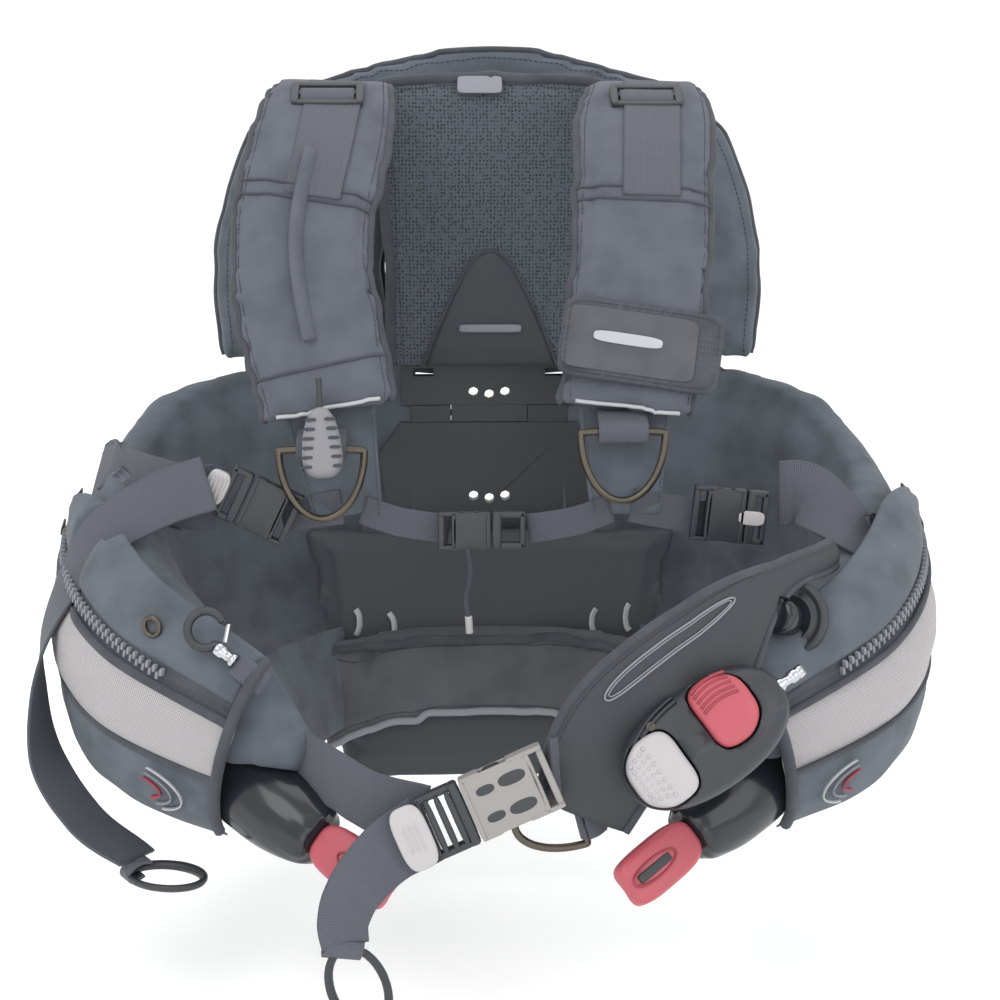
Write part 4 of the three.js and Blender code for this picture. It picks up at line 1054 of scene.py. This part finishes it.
def pad_point(name, share, lane, lift=0.0):
    """A point on a shoulder pad's front; lane runs from -1 to 1 across it."""
    line = PAD_LINES[name]
    t = line.share(share)
    ahead = line.along(t)
    wide = Vector((1, 0, 0))
    wide = (wide - ahead * wide.dot(ahead)).normalized()
    out = ahead.cross(wide)
    width = mix(74, 98, ramp(share, 0, 0.35)) - 8 * ramp(share, 0.8, 1)
    return line.point(t) + wide * lane * width / 2 + out * (5.5 + lift)


PAD_LINES = {name: Line(points) for name, points in PAD_POINTS.items()}


def ring_loop(half, drop):
    """A D-ring's outline: a straight bar above and a bow below."""
    outline = []
    for i in range(96):
        turn = 2 * math.pi * i / 96
        outline.append(Vector((half * math.cos(turn), (1.2 if math.sin(turn) > 0 else drop) * math.sin(turn), 0)))
    return outline


def d_ring(name, node, place, half, drop, wire=2.6):
    shape = moved(tube(ring_loop(half, drop), wire, 96, 12, closed=True), place)
    finished(name, shape, WIRE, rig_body(node), [node])


pad_faces = {}
for name, side in SIDES.items():
    pad = plump("shoulder_pad_" + name, "shoulder pad " + name, PAD_CLOTH, 0.7, cap=5, depth=0.8)
    face = pad_faces[name] = surface_of(pad)
    for lane in (-1, 1):
        edge = [pad_point(name, i / 24, lane, -5.5) for i in range(25)]
        edge = laid(edge, face, 0.4, 60)
        finished(f"shoulder pad binding {name} {lane}", tube(edge, 3.4, 110, 8), BINDING_AND_SLOT_SHADE)
        line = laid([pad_point(name, i / 24, lane * 0.88) for i in range(25)], face, 0.1)
        finished(f"shoulder pad stitching {name} {lane}", stitches(line), DARK_THREAD)
    # Webbing over the pad, its crossing seams, and the ladder lock that it comes from
    over = laid([pad_point(name, mix(0.16, 0.52, i / 10), 0.1) for i in range(11)], face, 1.6, 20)
    finished("shoulder webbing over pad " + name, webbing(over, 40, (0, -0.7, 0.7), thick=1.8), WEBBING)
    for share in (0.5, 0.53, 0.9):
        line = laid([pad_point(name, share, lane / 5) for lane in range(-5, 6)], face, 0.4)
        finished("shoulder cross seam", tube(line, 1.1, 30, 6), BINDING_AND_SLOT_SHADE)
    foot = laid([pad_point(name, 0.985, lane / 5) for lane in range(-4, 5)], face, 1.2)
    finished("shoulder pad reflective piping " + name, tube(foot, 1.5, 30, 8), REFLECTIVE)
    line = PAD_LINES[name]
    on_top = line.at(0.24)
    normal = line.along(line.share(0.24)).cross(Vector((1, 0, 0))).normalized()
    lock = frame_at(on_top + normal * 9.5, (1, 0, 0), normal)
    node = "strap_adjuster_" + name
    bars = [bar((3, 13), -2.6, 2.6, lock @ shift(x), 1.2, 4) for x in (-23, 23)]
    bars += [bar((24, 2.6), -2.2, 2.2, lock @ shift(0, y), 1.2, 4) for y in (-11, 0, 11)]
    finished("ladder lock " + name, merged(bars), BLACK_ACETAL, nodes=[node])
    through = [lock @ Vector(p) for p in ((0, -16, -2), (0, -9, 1), (0, -5, 3.6), (0, 2, 4), (0, 7, 0),
                                          (0, 14, -3))]
    finished("ladder lock webbing " + name, webbing(through, 38, normal, thick=1.8, steps=24), WEBBING)
    # The layer below the pad, with the ring's keeper and the straps that run on from it
    end = LAYER_END[name]
    lower = Vector(PAD_POINTS[name][4]) + Vector((0, 9, 0))
    upper = Vector((lower.x + side * 4, lower.y + 20, 110))
    node = "shoulder_webbing_" + name
    layer = webbing([upper, lower, end], lambda s: mix(76, 48, s), FRONT, thick=4, steps=30)
    finished("shoulder under layer " + name, layer, SHELL, nodes=[node])
    for lane in (-0.9, 0.9):
        line = [Vector((mix(lower.x, end.x, i / 6) + lane * mix(32, 24, i / 6), mix(lower.y, end.y, i / 6) - 4.6,
                        mix(lower.z, end.z, i / 6))) for i in range(7)]
        finished("under layer stitching", stitches(line), DARK_THREAD)
    start = end + Vector((side * 4, 2, 6))
    finished("webbing to buckle " + name,
             webbing([start, (start + Vector(OUTER_END[name])) / 2, OUTER_END[name]], 24, FRONT, steps=12), WEBBING)
    start = end + Vector((-side * 10, 0, 4))
    inner = INNER_END[name]
    finished("sternum webbing " + name,
             webbing([start, ((end.x + inner.x) / 2, -232, -24), inner], 20, FRONT, steps=20, wave=0.6), WEBBING)
    place = RING_FRAME[name]
    keeper = moved(webbing([Vector((0, 14, -15)), Vector((0, 10, -6)), Vector((0, 6.4, 4.6)), Vector((0, 0, 6.2)),
                            Vector((0, -5.6, 4)), Vector((0, -6.4, -3)), Vector((0, -3, -14))], 34,
                            lambda s: Vector((0, math.cos(3 * s), math.sin(3 * s))), thick=1.8, steps=40), place)
    finished("ring keeper " + name, keeper, WEBBING)
    d_ring("shoulder ring " + name, "shoulder_d_ring_" + name, place, 29, 47)

# Sleeve for the pull cable on the right pad
sleeve = laid([pad_point("right", mix(0.42, 0.84, i / 8), -0.05) for i in range(9)], pad_faces["right"], 2.0, 20)
finished("cable sleeve", tube(sleeve, 6.5, 60, 12, flat=0.55), PAD_CLOTH)
d_ring("waist ring", "waist_d_ring", frame_at((46, -371.5, -186), (0.25, 0, -0.95), (0.1, -1, 0)), 23, 42)
tab = frame_at((48, -372, -186), (0.25, 0, -0.95), (0.1, -1, 0))
finished("waist ring keeper",
         moved(webbing([Vector((0, 12, -3)), Vector((0, 4, 4.4)), Vector((0, -3, 4.6)), Vector((0, -5, 0)),
                        Vector((0, 2, -4)), Vector((0, 14, -5))], 36,
                        lambda s: Vector((0, math.sin(4 * s), math.cos(4 * s))), thick=1.8, steps=40), tab),
                        WEBBING)


def finger_ring(name, node, place):
    outline = [Vector((17 * math.cos(a), 27 * math.sin(a), 0)) for a in [2 * math.pi * i / 80 for i in range(80)]]
    finished(name, moved(tube(outline, 3.4, 80, 10, closed=True, flat=0.7), place), BLACK_ACETAL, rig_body(node),
             [node])


def ring_loop_band(name, end, near, width, body, facing):
    """The strap's end, sewn round the ring."""
    end, near = Vector(end), Vector(near)
    ahead = (near - end).normalized()
    out = Vector(facing).normalized() * 4.6
    path = [end + out * 0.4, near - ahead * 4 + out, near + ahead * 3 + out * 0.7, near + ahead * 5,
            near + ahead * 3 - out * 0.7, near - ahead * 6 - out * 0.6]
    wide = ahead.cross(Vector(facing)).normalized()
    finished(name, webbing(path, width, lambda s: wide.cross(Line(path).along(Line(path).share(s))), thick=1.8,
                           steps=36), WEBBING, body)


ring_loops.append(("loose tail loop", (-240, -289, -248), (-250, -293.5, -252), 24, "shoulder_tail_right",
                   (0.1, 0.2, 1)))
for label, end, near, width, node, facing in ring_loops:
    ring_loop_band(label, end, near, width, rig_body(node), facing)
finger_ring("loose tail ring", "shoulder_tail_ring", frame_at((-226, -304, -252), (0.4, 0.9, 0.1), (0.1, 0.2, 1)))
finger_ring("waist tail ring", "waist_tail_ring", frame_at((-94, -412, -287), (1, 0.1, 0.4), (0.2, -1, 0.1)))


# ---- Side-release buckles ----
def socket(size, place):
    """The half that the clip goes into: two plates, two rails and a bar for the webbing."""
    long, _, width, thick = size
    w, t = width / 2, thick / 2
    mid = -(long - 10) / 2
    parts = [bar(((long - 10) / 2, w - 0.6), z, z + 2, place @ shift(mid), 0.9, 6) for z in (-t, t - 2)]
    for y in (-w + 1.3, w - 1.3):
        parts.append(bar((long * 0.12, 1.3), -t, t, place @ shift(-long * 0.13, y), 0.8, 5))
        parts.append(bar((long * 0.21, 1.5), -t, t, place @ shift(-long * 0.79, y), 0.8, 5))
    parts.append(bar((2.2, w), -t * 0.8, t * 0.8, place @ shift(-long + 2.2), 1, 5))
    parts.append(bar((2.0, w), -t, t, place @ shift(-long + 11), 1, 5))
    for low, high in ((-t - 0.8, -t + 1.4), (t - 1.4, t + 0.8)):
        parts.append(bar((1.6, w - 1), low, high, place @ shift(-1.6), 0.8, 5))
    return merged(parts)


def clip(size, place):
    """The half with the two springing arms."""
    long, base, width, thick = size
    w, t = width / 2, thick / 2
    reach = -long + 15
    parts = [bar((3.4, w), -t, t, place @ shift(4.2), 1.4, 5)]
    for y in (-w + 2.2, w - 2.2):
        parts.append(bar(((base - 1) / 2, 2.2), -t * 0.8, t * 0.8, place @ shift((base + 1) / 2, y), 1, 5))
        inner = math.copysign(w - 5, y)
        parts.append(bar((-reach / 2, 2.4), -t + 2.6, t - 2.6, place @ shift(reach / 2, inner), 0.8, 4))
        side = math.copysign(w - 2.6, y)
        parts.append(bar((long * 0.1, 2.2), -t + 2.6, t - 2.6, place @ shift(-long * 0.4, side), 0.8, 4))
    parts.append(bar((2, w), -t * 0.8, t * 0.8, place @ shift(base - 2), 1.2, 5))
    parts.append(bar((-reach * 0.3, 2.4), -t + 2.6, t - 2.6, place @ shift(reach * 0.3), 0.8, 4))
    return merged(parts)


def buckle(node, size, place, socket_look, clip_look):
    finished(node + " socket", socket(size, place), socket_look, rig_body(node + "_socket"), [node + "_socket"])
    finished(node + " clip", clip(size, place), clip_look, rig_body(node + "_clip"), [node + "_clip"])


BUCKLE_FRAME = {
    "right": frame_at((-174, -230.5, -8), (-0.88, 0, 0.42), FRONT),
    "left": frame_at((170, -230.5, -22), (1, 0, -0.1), FRONT),
    "sternum": frame_at((-6, -242, -28), (1, 0, 0), FRONT),
}
buckle("shoulder_buckle_right", (36, 16, 38, 10), BUCKLE_FRAME["right"], BLACK_ACETAL, BLACK_ACETAL)
buckle("shoulder_buckle_left", (36, 16, 38, 10), BUCKLE_FRAME["left"], BLACK_ACETAL, BLACK_ACETAL)
buckle("sternum_buckle", (36, 24, 26, 9), BUCKLE_FRAME["sternum"], BLACK_ACETAL, BLACK_ACETAL)
buckle("waist_buckle", (56, 30, 42, 14), WAIST_BUCKLE, SOCKET_NYLON, BLACK_ACETAL)

# The waist socket's slots and the clip's wide ridges and pale end tab
for x, y, long, wide in ((-14, 9, 6, 3), (-14, -9, 6, 3), (-32, 9.5, 9, 4), (-32, -9.5, 9, 4)):
    finished("waist socket slot", bar((long, wide), 6.2, 7.3, WAIST_BUCKLE @ shift(x, y), 0.4, 2.4), BLACK_ACETAL)
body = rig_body("waist_buckle_clip")
for x in (9, 16, 23):
    finished("waist clip ridge", bar((2.1, 18), 5, 8.6, WAIST_BUCKLE @ shift(x), 1.4, 4), BLACK_ACETAL, body)
end_tab = WAIST_BUCKLE @ shift(38, 0, 9)
finished("waist clip tab", bar((11, 21), -2, 2.4, end_tab, 1.6, 3.4), GREY_NYLON, body)
for x in (-4, 0, 4):
    finished("waist tab rib", bar((0.7, 9), 2, 3, end_tab @ shift(x), 0.4, 3), GREY_NYLON, body)

# The right shoulder clip's ribbed thumb tab, and the left one's pale tip
thumb = BUCKLE_FRAME["right"] @ shift(22, 0, 2)
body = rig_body("shoulder_buckle_right_clip")
finished("thumb tab", bar((8, 12), -2.5, 3, thumb, 1.4, 3.4), GREY_NYLON, body)
for x in (-4.5, -1.5, 1.5, 4.5):
    finished("thumb tab rib", bar((0.8, 9), 2.6, 4, thumb @ shift(x), 0.5, 3), GREY_NYLON, body)
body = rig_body("shoulder_buckle_left_clip")
finished("left clip tip", bar((9, 5), 3.6, 5.8, BUCKLE_FRAME["left"] @ shift(5), 0.8, 3.4), GREY_NYLON, body)
cord = [(-22, -246, -40), (-20, -247, -58), (-23, -246, -76), (-21, -245, -92)]
finished("sternum whistle lanyard", tube(cord, 1.6, 30, 8), BINDING_AND_SLOT_SHADE)
finished("lanyard tip", tube([(-21.4, -245.2, -88), (-21, -245, -94), (-20.6, -245, -100)], 2.6, 8, 10), GREY_NYLON)

# ---- Hose flap ----
FLAP = frame_at((98, -227, 97), (0.985, 0, -0.15), (0, -0.955, 0.3))
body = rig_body("hose_flap")


def flap_bend(spot):
    a = spot.x / 56
    return spot + Vector((0, 0, -2 * a**4))


finished("hose flap", moved(moulded((56, 28), rounded(-2.5, 2.5, 1.6), 9, 72, flap_bend), FLAP), BINDING_AND_SLOT_SHADE, body,
         ["hose_flap"])
panel = moved(moulded((46, 22), rounded(2.3, 3.2, 0.6), 10, 64, lambda p: flap_bend(p + Vector((-8, 0, 0)))), FLAP)
finished("hose flap panel", panel, NEOPRENE, body)
outline = [Vector((math.copysign(abs(math.cos(a)) ** 0.22, math.cos(a)) * 52,
                   math.copysign(abs(math.sin(a)) ** 0.22, math.sin(a)) * 25,
                   2.6)) for a in [2 * math.pi * i / 160 for i in range(160)]]
finished("hose flap stitching", moved(merged([stitches(outline, 3.2, 2.2, 0.3)]), FLAP), DARK_THREAD, body)
finished("hose flap plain bar", bar((24, 4), 3, 3.7, FLAP @ shift(-10, 2), 0.3, 4), REFLECTIVE, body)

# ---- Pull knob of the dump cable ----
KNOB = frame_at((-120, -256, 35), (0.05, -0.28, -0.95), (0, -0.96, 0.28))


def pear(spot):
    share = (spot.x / 24 + 1) / 2
    width = mix(0.52, 1.0, max(0, share) ** 0.6)
    return Vector((spot.x, spot.y * width, spot.z * mix(0.8, 1, share)))


finished("dump knob", moved(moulded((24, 15.5), rounded(-7.5, 7.5, 5), 2.8, 64, pear), KNOB), KNOB_NYLON,
         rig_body("dump_pull_knob"), ["dump_pull_knob"])
# The grip slots are dark bars in the binding colour on the grey knob: painted shade in the slots.
for i in range(6):
    x = mix(-15, 17, i / 5)
    reach = 15.5 * mix(0.52, 1.0, ((x / 24 + 1) / 2) ** 0.6)
    for one in (-1, 1):
        slot_place = KNOB @ shift(x, one * (reach - 4.2), 0)
        finished("knob grip slot", bar((1.1, 3.8), 6, 7.9, slot_place, 0.5, 3), BINDING_AND_SLOT_SHADE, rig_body("dump_pull_knob"))
finished("dump cable", moved(tube([(-44, 0, 0), (-34, 0, 0), (-20, 0, 0)], 1.9, 10, 8), KNOB), BLACK_ACETAL,
         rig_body("dump_pull_knob"))

# ---- Air control ----
def panel_sheet(u, v):
    lane = v * 2 - 1
    return on_panel(u, lane)


panel_shape = thickened(cloth_grid(90, 24, panel_sheet, (330, 80)), 5)
beside_valve = [finished("control panel", panel_shape, ELASTOMER, nodes=["control_panel"])]
for lane in (-1, 1):
    edge = [on_panel(i / 40, lane, -1) for i in range(41)]
    beside_valve.append(finished("control panel piping", tube(edge, 3.0, 120, 8), BINDING_AND_SLOT_SHADE))
for lane in (-0.88, 0.9):
    finished("control panel stitching", stitches([on_panel(i / 40, lane, 0.2) for i in range(41)]), DARK_THREAD)


def stadium(half_share, half_lane, middle=(0.42, -0.62)):
    outline = []
    for i in range(64):
        turn = 2 * math.pi * i / 64
        c, s = math.cos(turn), math.sin(turn)
        share = middle[0] + half_share * math.copysign(abs(c) ** 0.45, c)
        lane = middle[1] + half_lane * math.copysign(abs(s) ** 0.9, s)
        outline.append(on_panel(share, lane, 0.6))
    return outline


finished("panel raised outline", tube(stadium(0.17, 0.13), 0.7, 64, 6, closed=True), THREAD)
finished("panel raised inner outline", tube(stadium(0.16, 0.09), 0.5, 64, 6, closed=True), THREAD)

CONTROL = frame_at((124, -396, -131), (0.83, 0.27, 0.49), (-0.2, -0.93, 0.3))
PIN_X = -10
dome = [(None, -13), (3, -13), (0.6, -11), (0, -7), (0, -1), (0.8, 2.6), (3, 5.6), (6.5, 8), (11, 9.8), (17, 11.2),
        (24, 12.2), (None, 12.8)]
housing = finished("control housing", moved(moulded((59, 34), dome, 2.25, 96), CONTROL), BLACK_ACETAL,
                   nodes=["control_housing"])


def carved(piece, cutters):
    """Recesses cut into a moulding."""
    for shape in cutters:
        bmesh.ops.transform(shape, matrix=Matrix.Scale(METRE, 4), verts=shape.verts)
        bmesh.ops.recalc_face_normals(shape, faces=shape.faces)
        mesh = bpy.data.meshes.new("cutter")
        shape.to_mesh(mesh)
        shape.free()
        cutter = bpy.data.objects.new("cutter", mesh)
        scene.collection.objects.link(cutter)
        cut = piece.modifiers.new("cut", "BOOLEAN")
        cut.operation = "DIFFERENCE"
        cut.solver = "EXACT"
        cut.object = cutter
        applied(piece)
        bpy.data.objects.remove(cutter)
        bpy.data.meshes.remove(mesh)


def lever_form(direction, grow=0.0):
    """The plan of a lever: the red one's inner edge is hollow and the grey one's is ribbed."""

    def form(spot):
        a = spot.x / (20 + grow) * direction
        b = spot.y / (23 + grow)
        x = spot.x + direction * 3.5 * (1 - b * b) * ramp(-a, 0, 1)
        y = spot.y * (1 - 0.16 * ramp(a, 0, 1))
        return Vector((PIN_X + direction * 27.2 + x, y + (7 if direction > 0 else -2), spot.z))

    return form


def lever_plan(direction, profile, grow=0.0):
    return moulded((20 + grow, 23 + grow), profile, 2.9, 72, lever_form(direction, grow))


recess = [(None, -3), (0, -3), (0, 40), (None, 40)]
carved(housing, [moved(lever_plan(d, recess, 1.4), CONTROL) for d in (1, -1)])
top = [(None, 3), (0.8, 3), (0, 3.8), (0, 10.5), (0.5, 12.2), (1.6, 13.6), (3.4, 14.6), (6.5, 15.2), (11, 15.4),
       (None, 15.5)]
finished("inflate lever", moved(lever_plan(1, top), CONTROL), RED_NYLON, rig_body("inflate_lever"),
         ["inflate_lever"])
# The ridges are a darker red than the lever they belong to: painted shade.
for i in range(5):
    y = 7 + mix(4, 19, i / 4)
    line = [CONTROL @ Vector((PIN_X + 27.2 + mix(-13, 13, k / 6), y + 2.4 * math.cos((k / 6 - 0.5) * 3),
                              15.3 - 0.25 * i)) for k in range(7)]
    finished("inflate lever ridge", tube(line, 1.1, 24, 8), RED_PAINTED_SHADE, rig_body("inflate_lever"))
finished("deflate lever", moved(lever_plan(-1, top), CONTROL), GREY_NYLON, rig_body("deflate_lever"),
         ["deflate_lever"])
bumps = []
for row in range(4):
    for k in range(7):
        x = PIN_X - 27.2 - 16 + row * 4.2
        y = -2 + mix(-17, 17, k / 6) * mix(0.72, 1, row / 3)
        dot = moulded((1.5, 1.5), [(None, 15), (0, 15), (0.2, 16), (0.8, 16.7), (None, 16.9)], 2, 12)
        bumps.append(moved(dot, CONTROL @ shift(x, y, -1.1 + 0.3 * row)))
finished("deflate lever bumps", merged(bumps), GREY_NYLON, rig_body("deflate_lever"))
softened("lever_pin", "lever pin", WIRE, bevel=0.3)
for inset, z, label in ((2.2, 6.4, "outer"), (5.2, 8.6, "inner")):
    rim = [CONTROL @ Vector((math.cos(a) * (59 - inset - 2), math.sin(a) * (34 - inset),
                             z)) for a in [math.radians(d) for d in range(95, 230, 9)]]
    finished("housing recess rim " + label, tube(rim, 1.2, 50, 8), BLACK_ACETAL)
finished("housing screw", bar((3, 3), 8, 9.6, CONTROL @ shift(-27, 24), 0.5, 2), WIRE)
finished("housing oval port", bar((6.5, 3.4), 8.4, 9.2, CONTROL @ shift(44, -12), 0.3, 2), BINDING_AND_SLOT_SHADE)
nipple_rows = [(None, 0), (4.6, 0), (4.6, 10), (3.2, 12), (3.2, 16), (4.4, 17), (4.4, 21), (3.6, 22), (4.4, 23),
               (4.2, 27), (None, 27)]


def turned(rows, place, steps=32):
    """A round turning about its own Z; each row is a radius and a height."""
    most = max(r for r, _ in rows if r is not None)
    profile = [(None if r is None else most - r, z) for r, z in rows]
    return moved(moulded((most, most), profile, 2, steps), place)


finished("hose nipple", turned(nipple_rows, CONTROL @ shift(49) @ Matrix.Rotation(math.pi / 2, 4, "Y")), CHROME,
         nodes=["hose_nipple"])

# ---- Dump valve ----
VALVE = frame_at((188, -322, -73), (0.8, -0.5, 0.2), (-0.5, -0.82, 0.28))
flange = [(None, -6), (25, -6), (25, -1), (23.5, 0.6), (21.5, 0.8), (20, -1), (17, -1), (16, 1.2), (14.5, 1.2),
          (13.6, -0.4), (9, -0.4), (8.5, 0), (8.5, 8), (6.5, 8), (6.5, 1), (None, 1)]
finished("dump valve flange", turned(flange, VALVE, 64), BLACK_ACETAL, nodes=["dump_valve_body"])
cap = [(None, 20), (7, 20.2), (10.6, 19.6), (12, 18), (12, 3.4), (11.4, 2.5), (9, 2.5), (9, 18.4), (None, 18.4)]
finished("dump valve cap", turned(cap, VALVE, 64), GLOSS_BLACK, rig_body("dump_valve_cap"), ["dump_valve_cap"])
softened("dump_valve_spring", "dump valve spring", WIRE, bevel=0.2)
CAP_ROOM = [(None, -2), (13.5, -2), (13.5, 30), (None, 30)]  # the cap and its travel, with play
for piece in beside_valve:
    carved(piece, [turned(CAP_ROOM, VALVE, 48)])
finished("dump valve bracket", bar((5, 2), 17, 22, VALVE @ shift(0, 10), 0.8, 4), BLACK_ACETAL,
         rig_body("dump_valve_cap"))

# ---- Snap hook ----
HOOK = frame_at((-192, -336, -74), (0.75, -0.3, -0.5), (-0.2, -0.9, 0.4))
hook_line = [Vector((12 * math.cos(a), 12 * math.sin(a), 0)) for a in [mix(math.radians(60),
    2 * math.pi - math.radians(20), i / 16) for i in range(17)]]
hook_line.append(Vector((16, -5.4, 0)))
finished("snap hook", moved(tube(hook_line, 2.9, 60, 10), HOOK), BLACK_ACETAL, nodes=["snap_hook"])
barrel_rows = [(None, 0), (4.4, 0), (4.8, 1), (4.8, 6), (3.6, 7), (3.6, 12), (5.0, 13), (5.0, 15.5), (None, 16)]
finished("snap hook swivel", turned(barrel_rows, HOOK @ shift(13, -5.4) @ Matrix.Rotation(math.pi / 2, 4, "Y")),
         CHROME)
softened("snap_gate", "snap gate", CHROME, bevel=0.2)
finished("snap hook strap",
         moved(webbing([(29, -5.4, 0), (40, -6, -2), (52, -6, -8)], 16, (0, 0, 1), steps=12), HOOK), WEBBING)
grommet = skin(-1, 0.83, 45, 6.5)
way = (skin(-1, 0.83, 45, 10) - grommet).normalized()
ring = [frame_at(grommet, (0, 0, 1),
                 way) @ Vector((6 * math.cos(a), 6 * math.sin(a),
                                0)) for a in [2 * math.pi * i / 40 for i in range(40)]]
finished("pocket grommet", tube(ring, 1.8, 40, 8, closed=True), WIRE)

# ---- Camera, light and floor ----
AZIMUTH, ELEVATION, DISTANCE = math.radians(-2), math.radians(10), 1.5
target = Vector((0.003, -0.170, -0.020))
back = Vector((math.sin(AZIMUTH) * math.cos(ELEVATION), -math.cos(AZIMUTH) * math.cos(ELEVATION),
               math.sin(ELEVATION)))
lens = bpy.data.cameras.new("camera")
lens.lens, lens.sensor_width = 75, 36
camera = bpy.data.objects.new("camera", lens)
camera.location = target + back * DISTANCE
camera.rotation_euler = (-back).to_track_quat("-Z", "Y").to_euler()
scene.collection.objects.link(camera)
scene.camera = camera


def area_light(name, place, aim, size, power):
    data = bpy.data.lights.new(name, "AREA")
    data.shape, data.size, data.energy = "SQUARE", size, power
    light = bpy.data.objects.new(name, data)
    light.location = place
    light.rotation_euler = (Vector(aim) - Vector(place)).to_track_quat("-Z", "Y").to_euler()
    scene.collection.objects.link(light)


area_light("key", (-1.4, -1.9, 1.8), (0, -0.1, 0), 1.6, 22)
area_light("fill", (1.7, -1.7, 1.0), (0, -0.1, 0), 1.8, 13)
area_light("top", (0.0, 0.1, 2.2), (0, -0.1, 0), 1.8, 14)
area_light("front", (0.0, -2.6, -0.1), (0, -0.1, -0.1), 1.6, 9)
world = bpy.data.worlds.new("studio")
world.use_nodes = True
world.node_tree.nodes["Background"].inputs["Color"].default_value = (1, 1, 1, 1)
world.node_tree.nodes["Background"].inputs["Strength"].default_value = 1.06
scene.world = world
scene.view_settings.view_transform = "Standard"

FLOOR = -0.345
shape = bmesh.new()
bmesh.ops.create_grid(shape, x_segments=1, y_segments=1, size=8)
bmesh.ops.transform(shape, matrix=Matrix.Translation((0, 0, FLOOR)), verts=shape.verts)
mesh = bpy.data.meshes.new("floor")
shape.to_mesh(mesh)
shape.free()
floor = bpy.data.objects.new("floor", mesh)
mesh.materials.append(Look("pale floor", "#fbfbfb", 0.95,
                           **{"Emission Color": (1, 1, 1, 1), "Emission Strength": 0.16}).material)
scene.collection.objects.link(floor)
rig.stage(floor)

sizes["visual"] = [list(corner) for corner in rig.bounds()]
with open("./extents.json", "w") as file:
    json.dump(sizes, file)
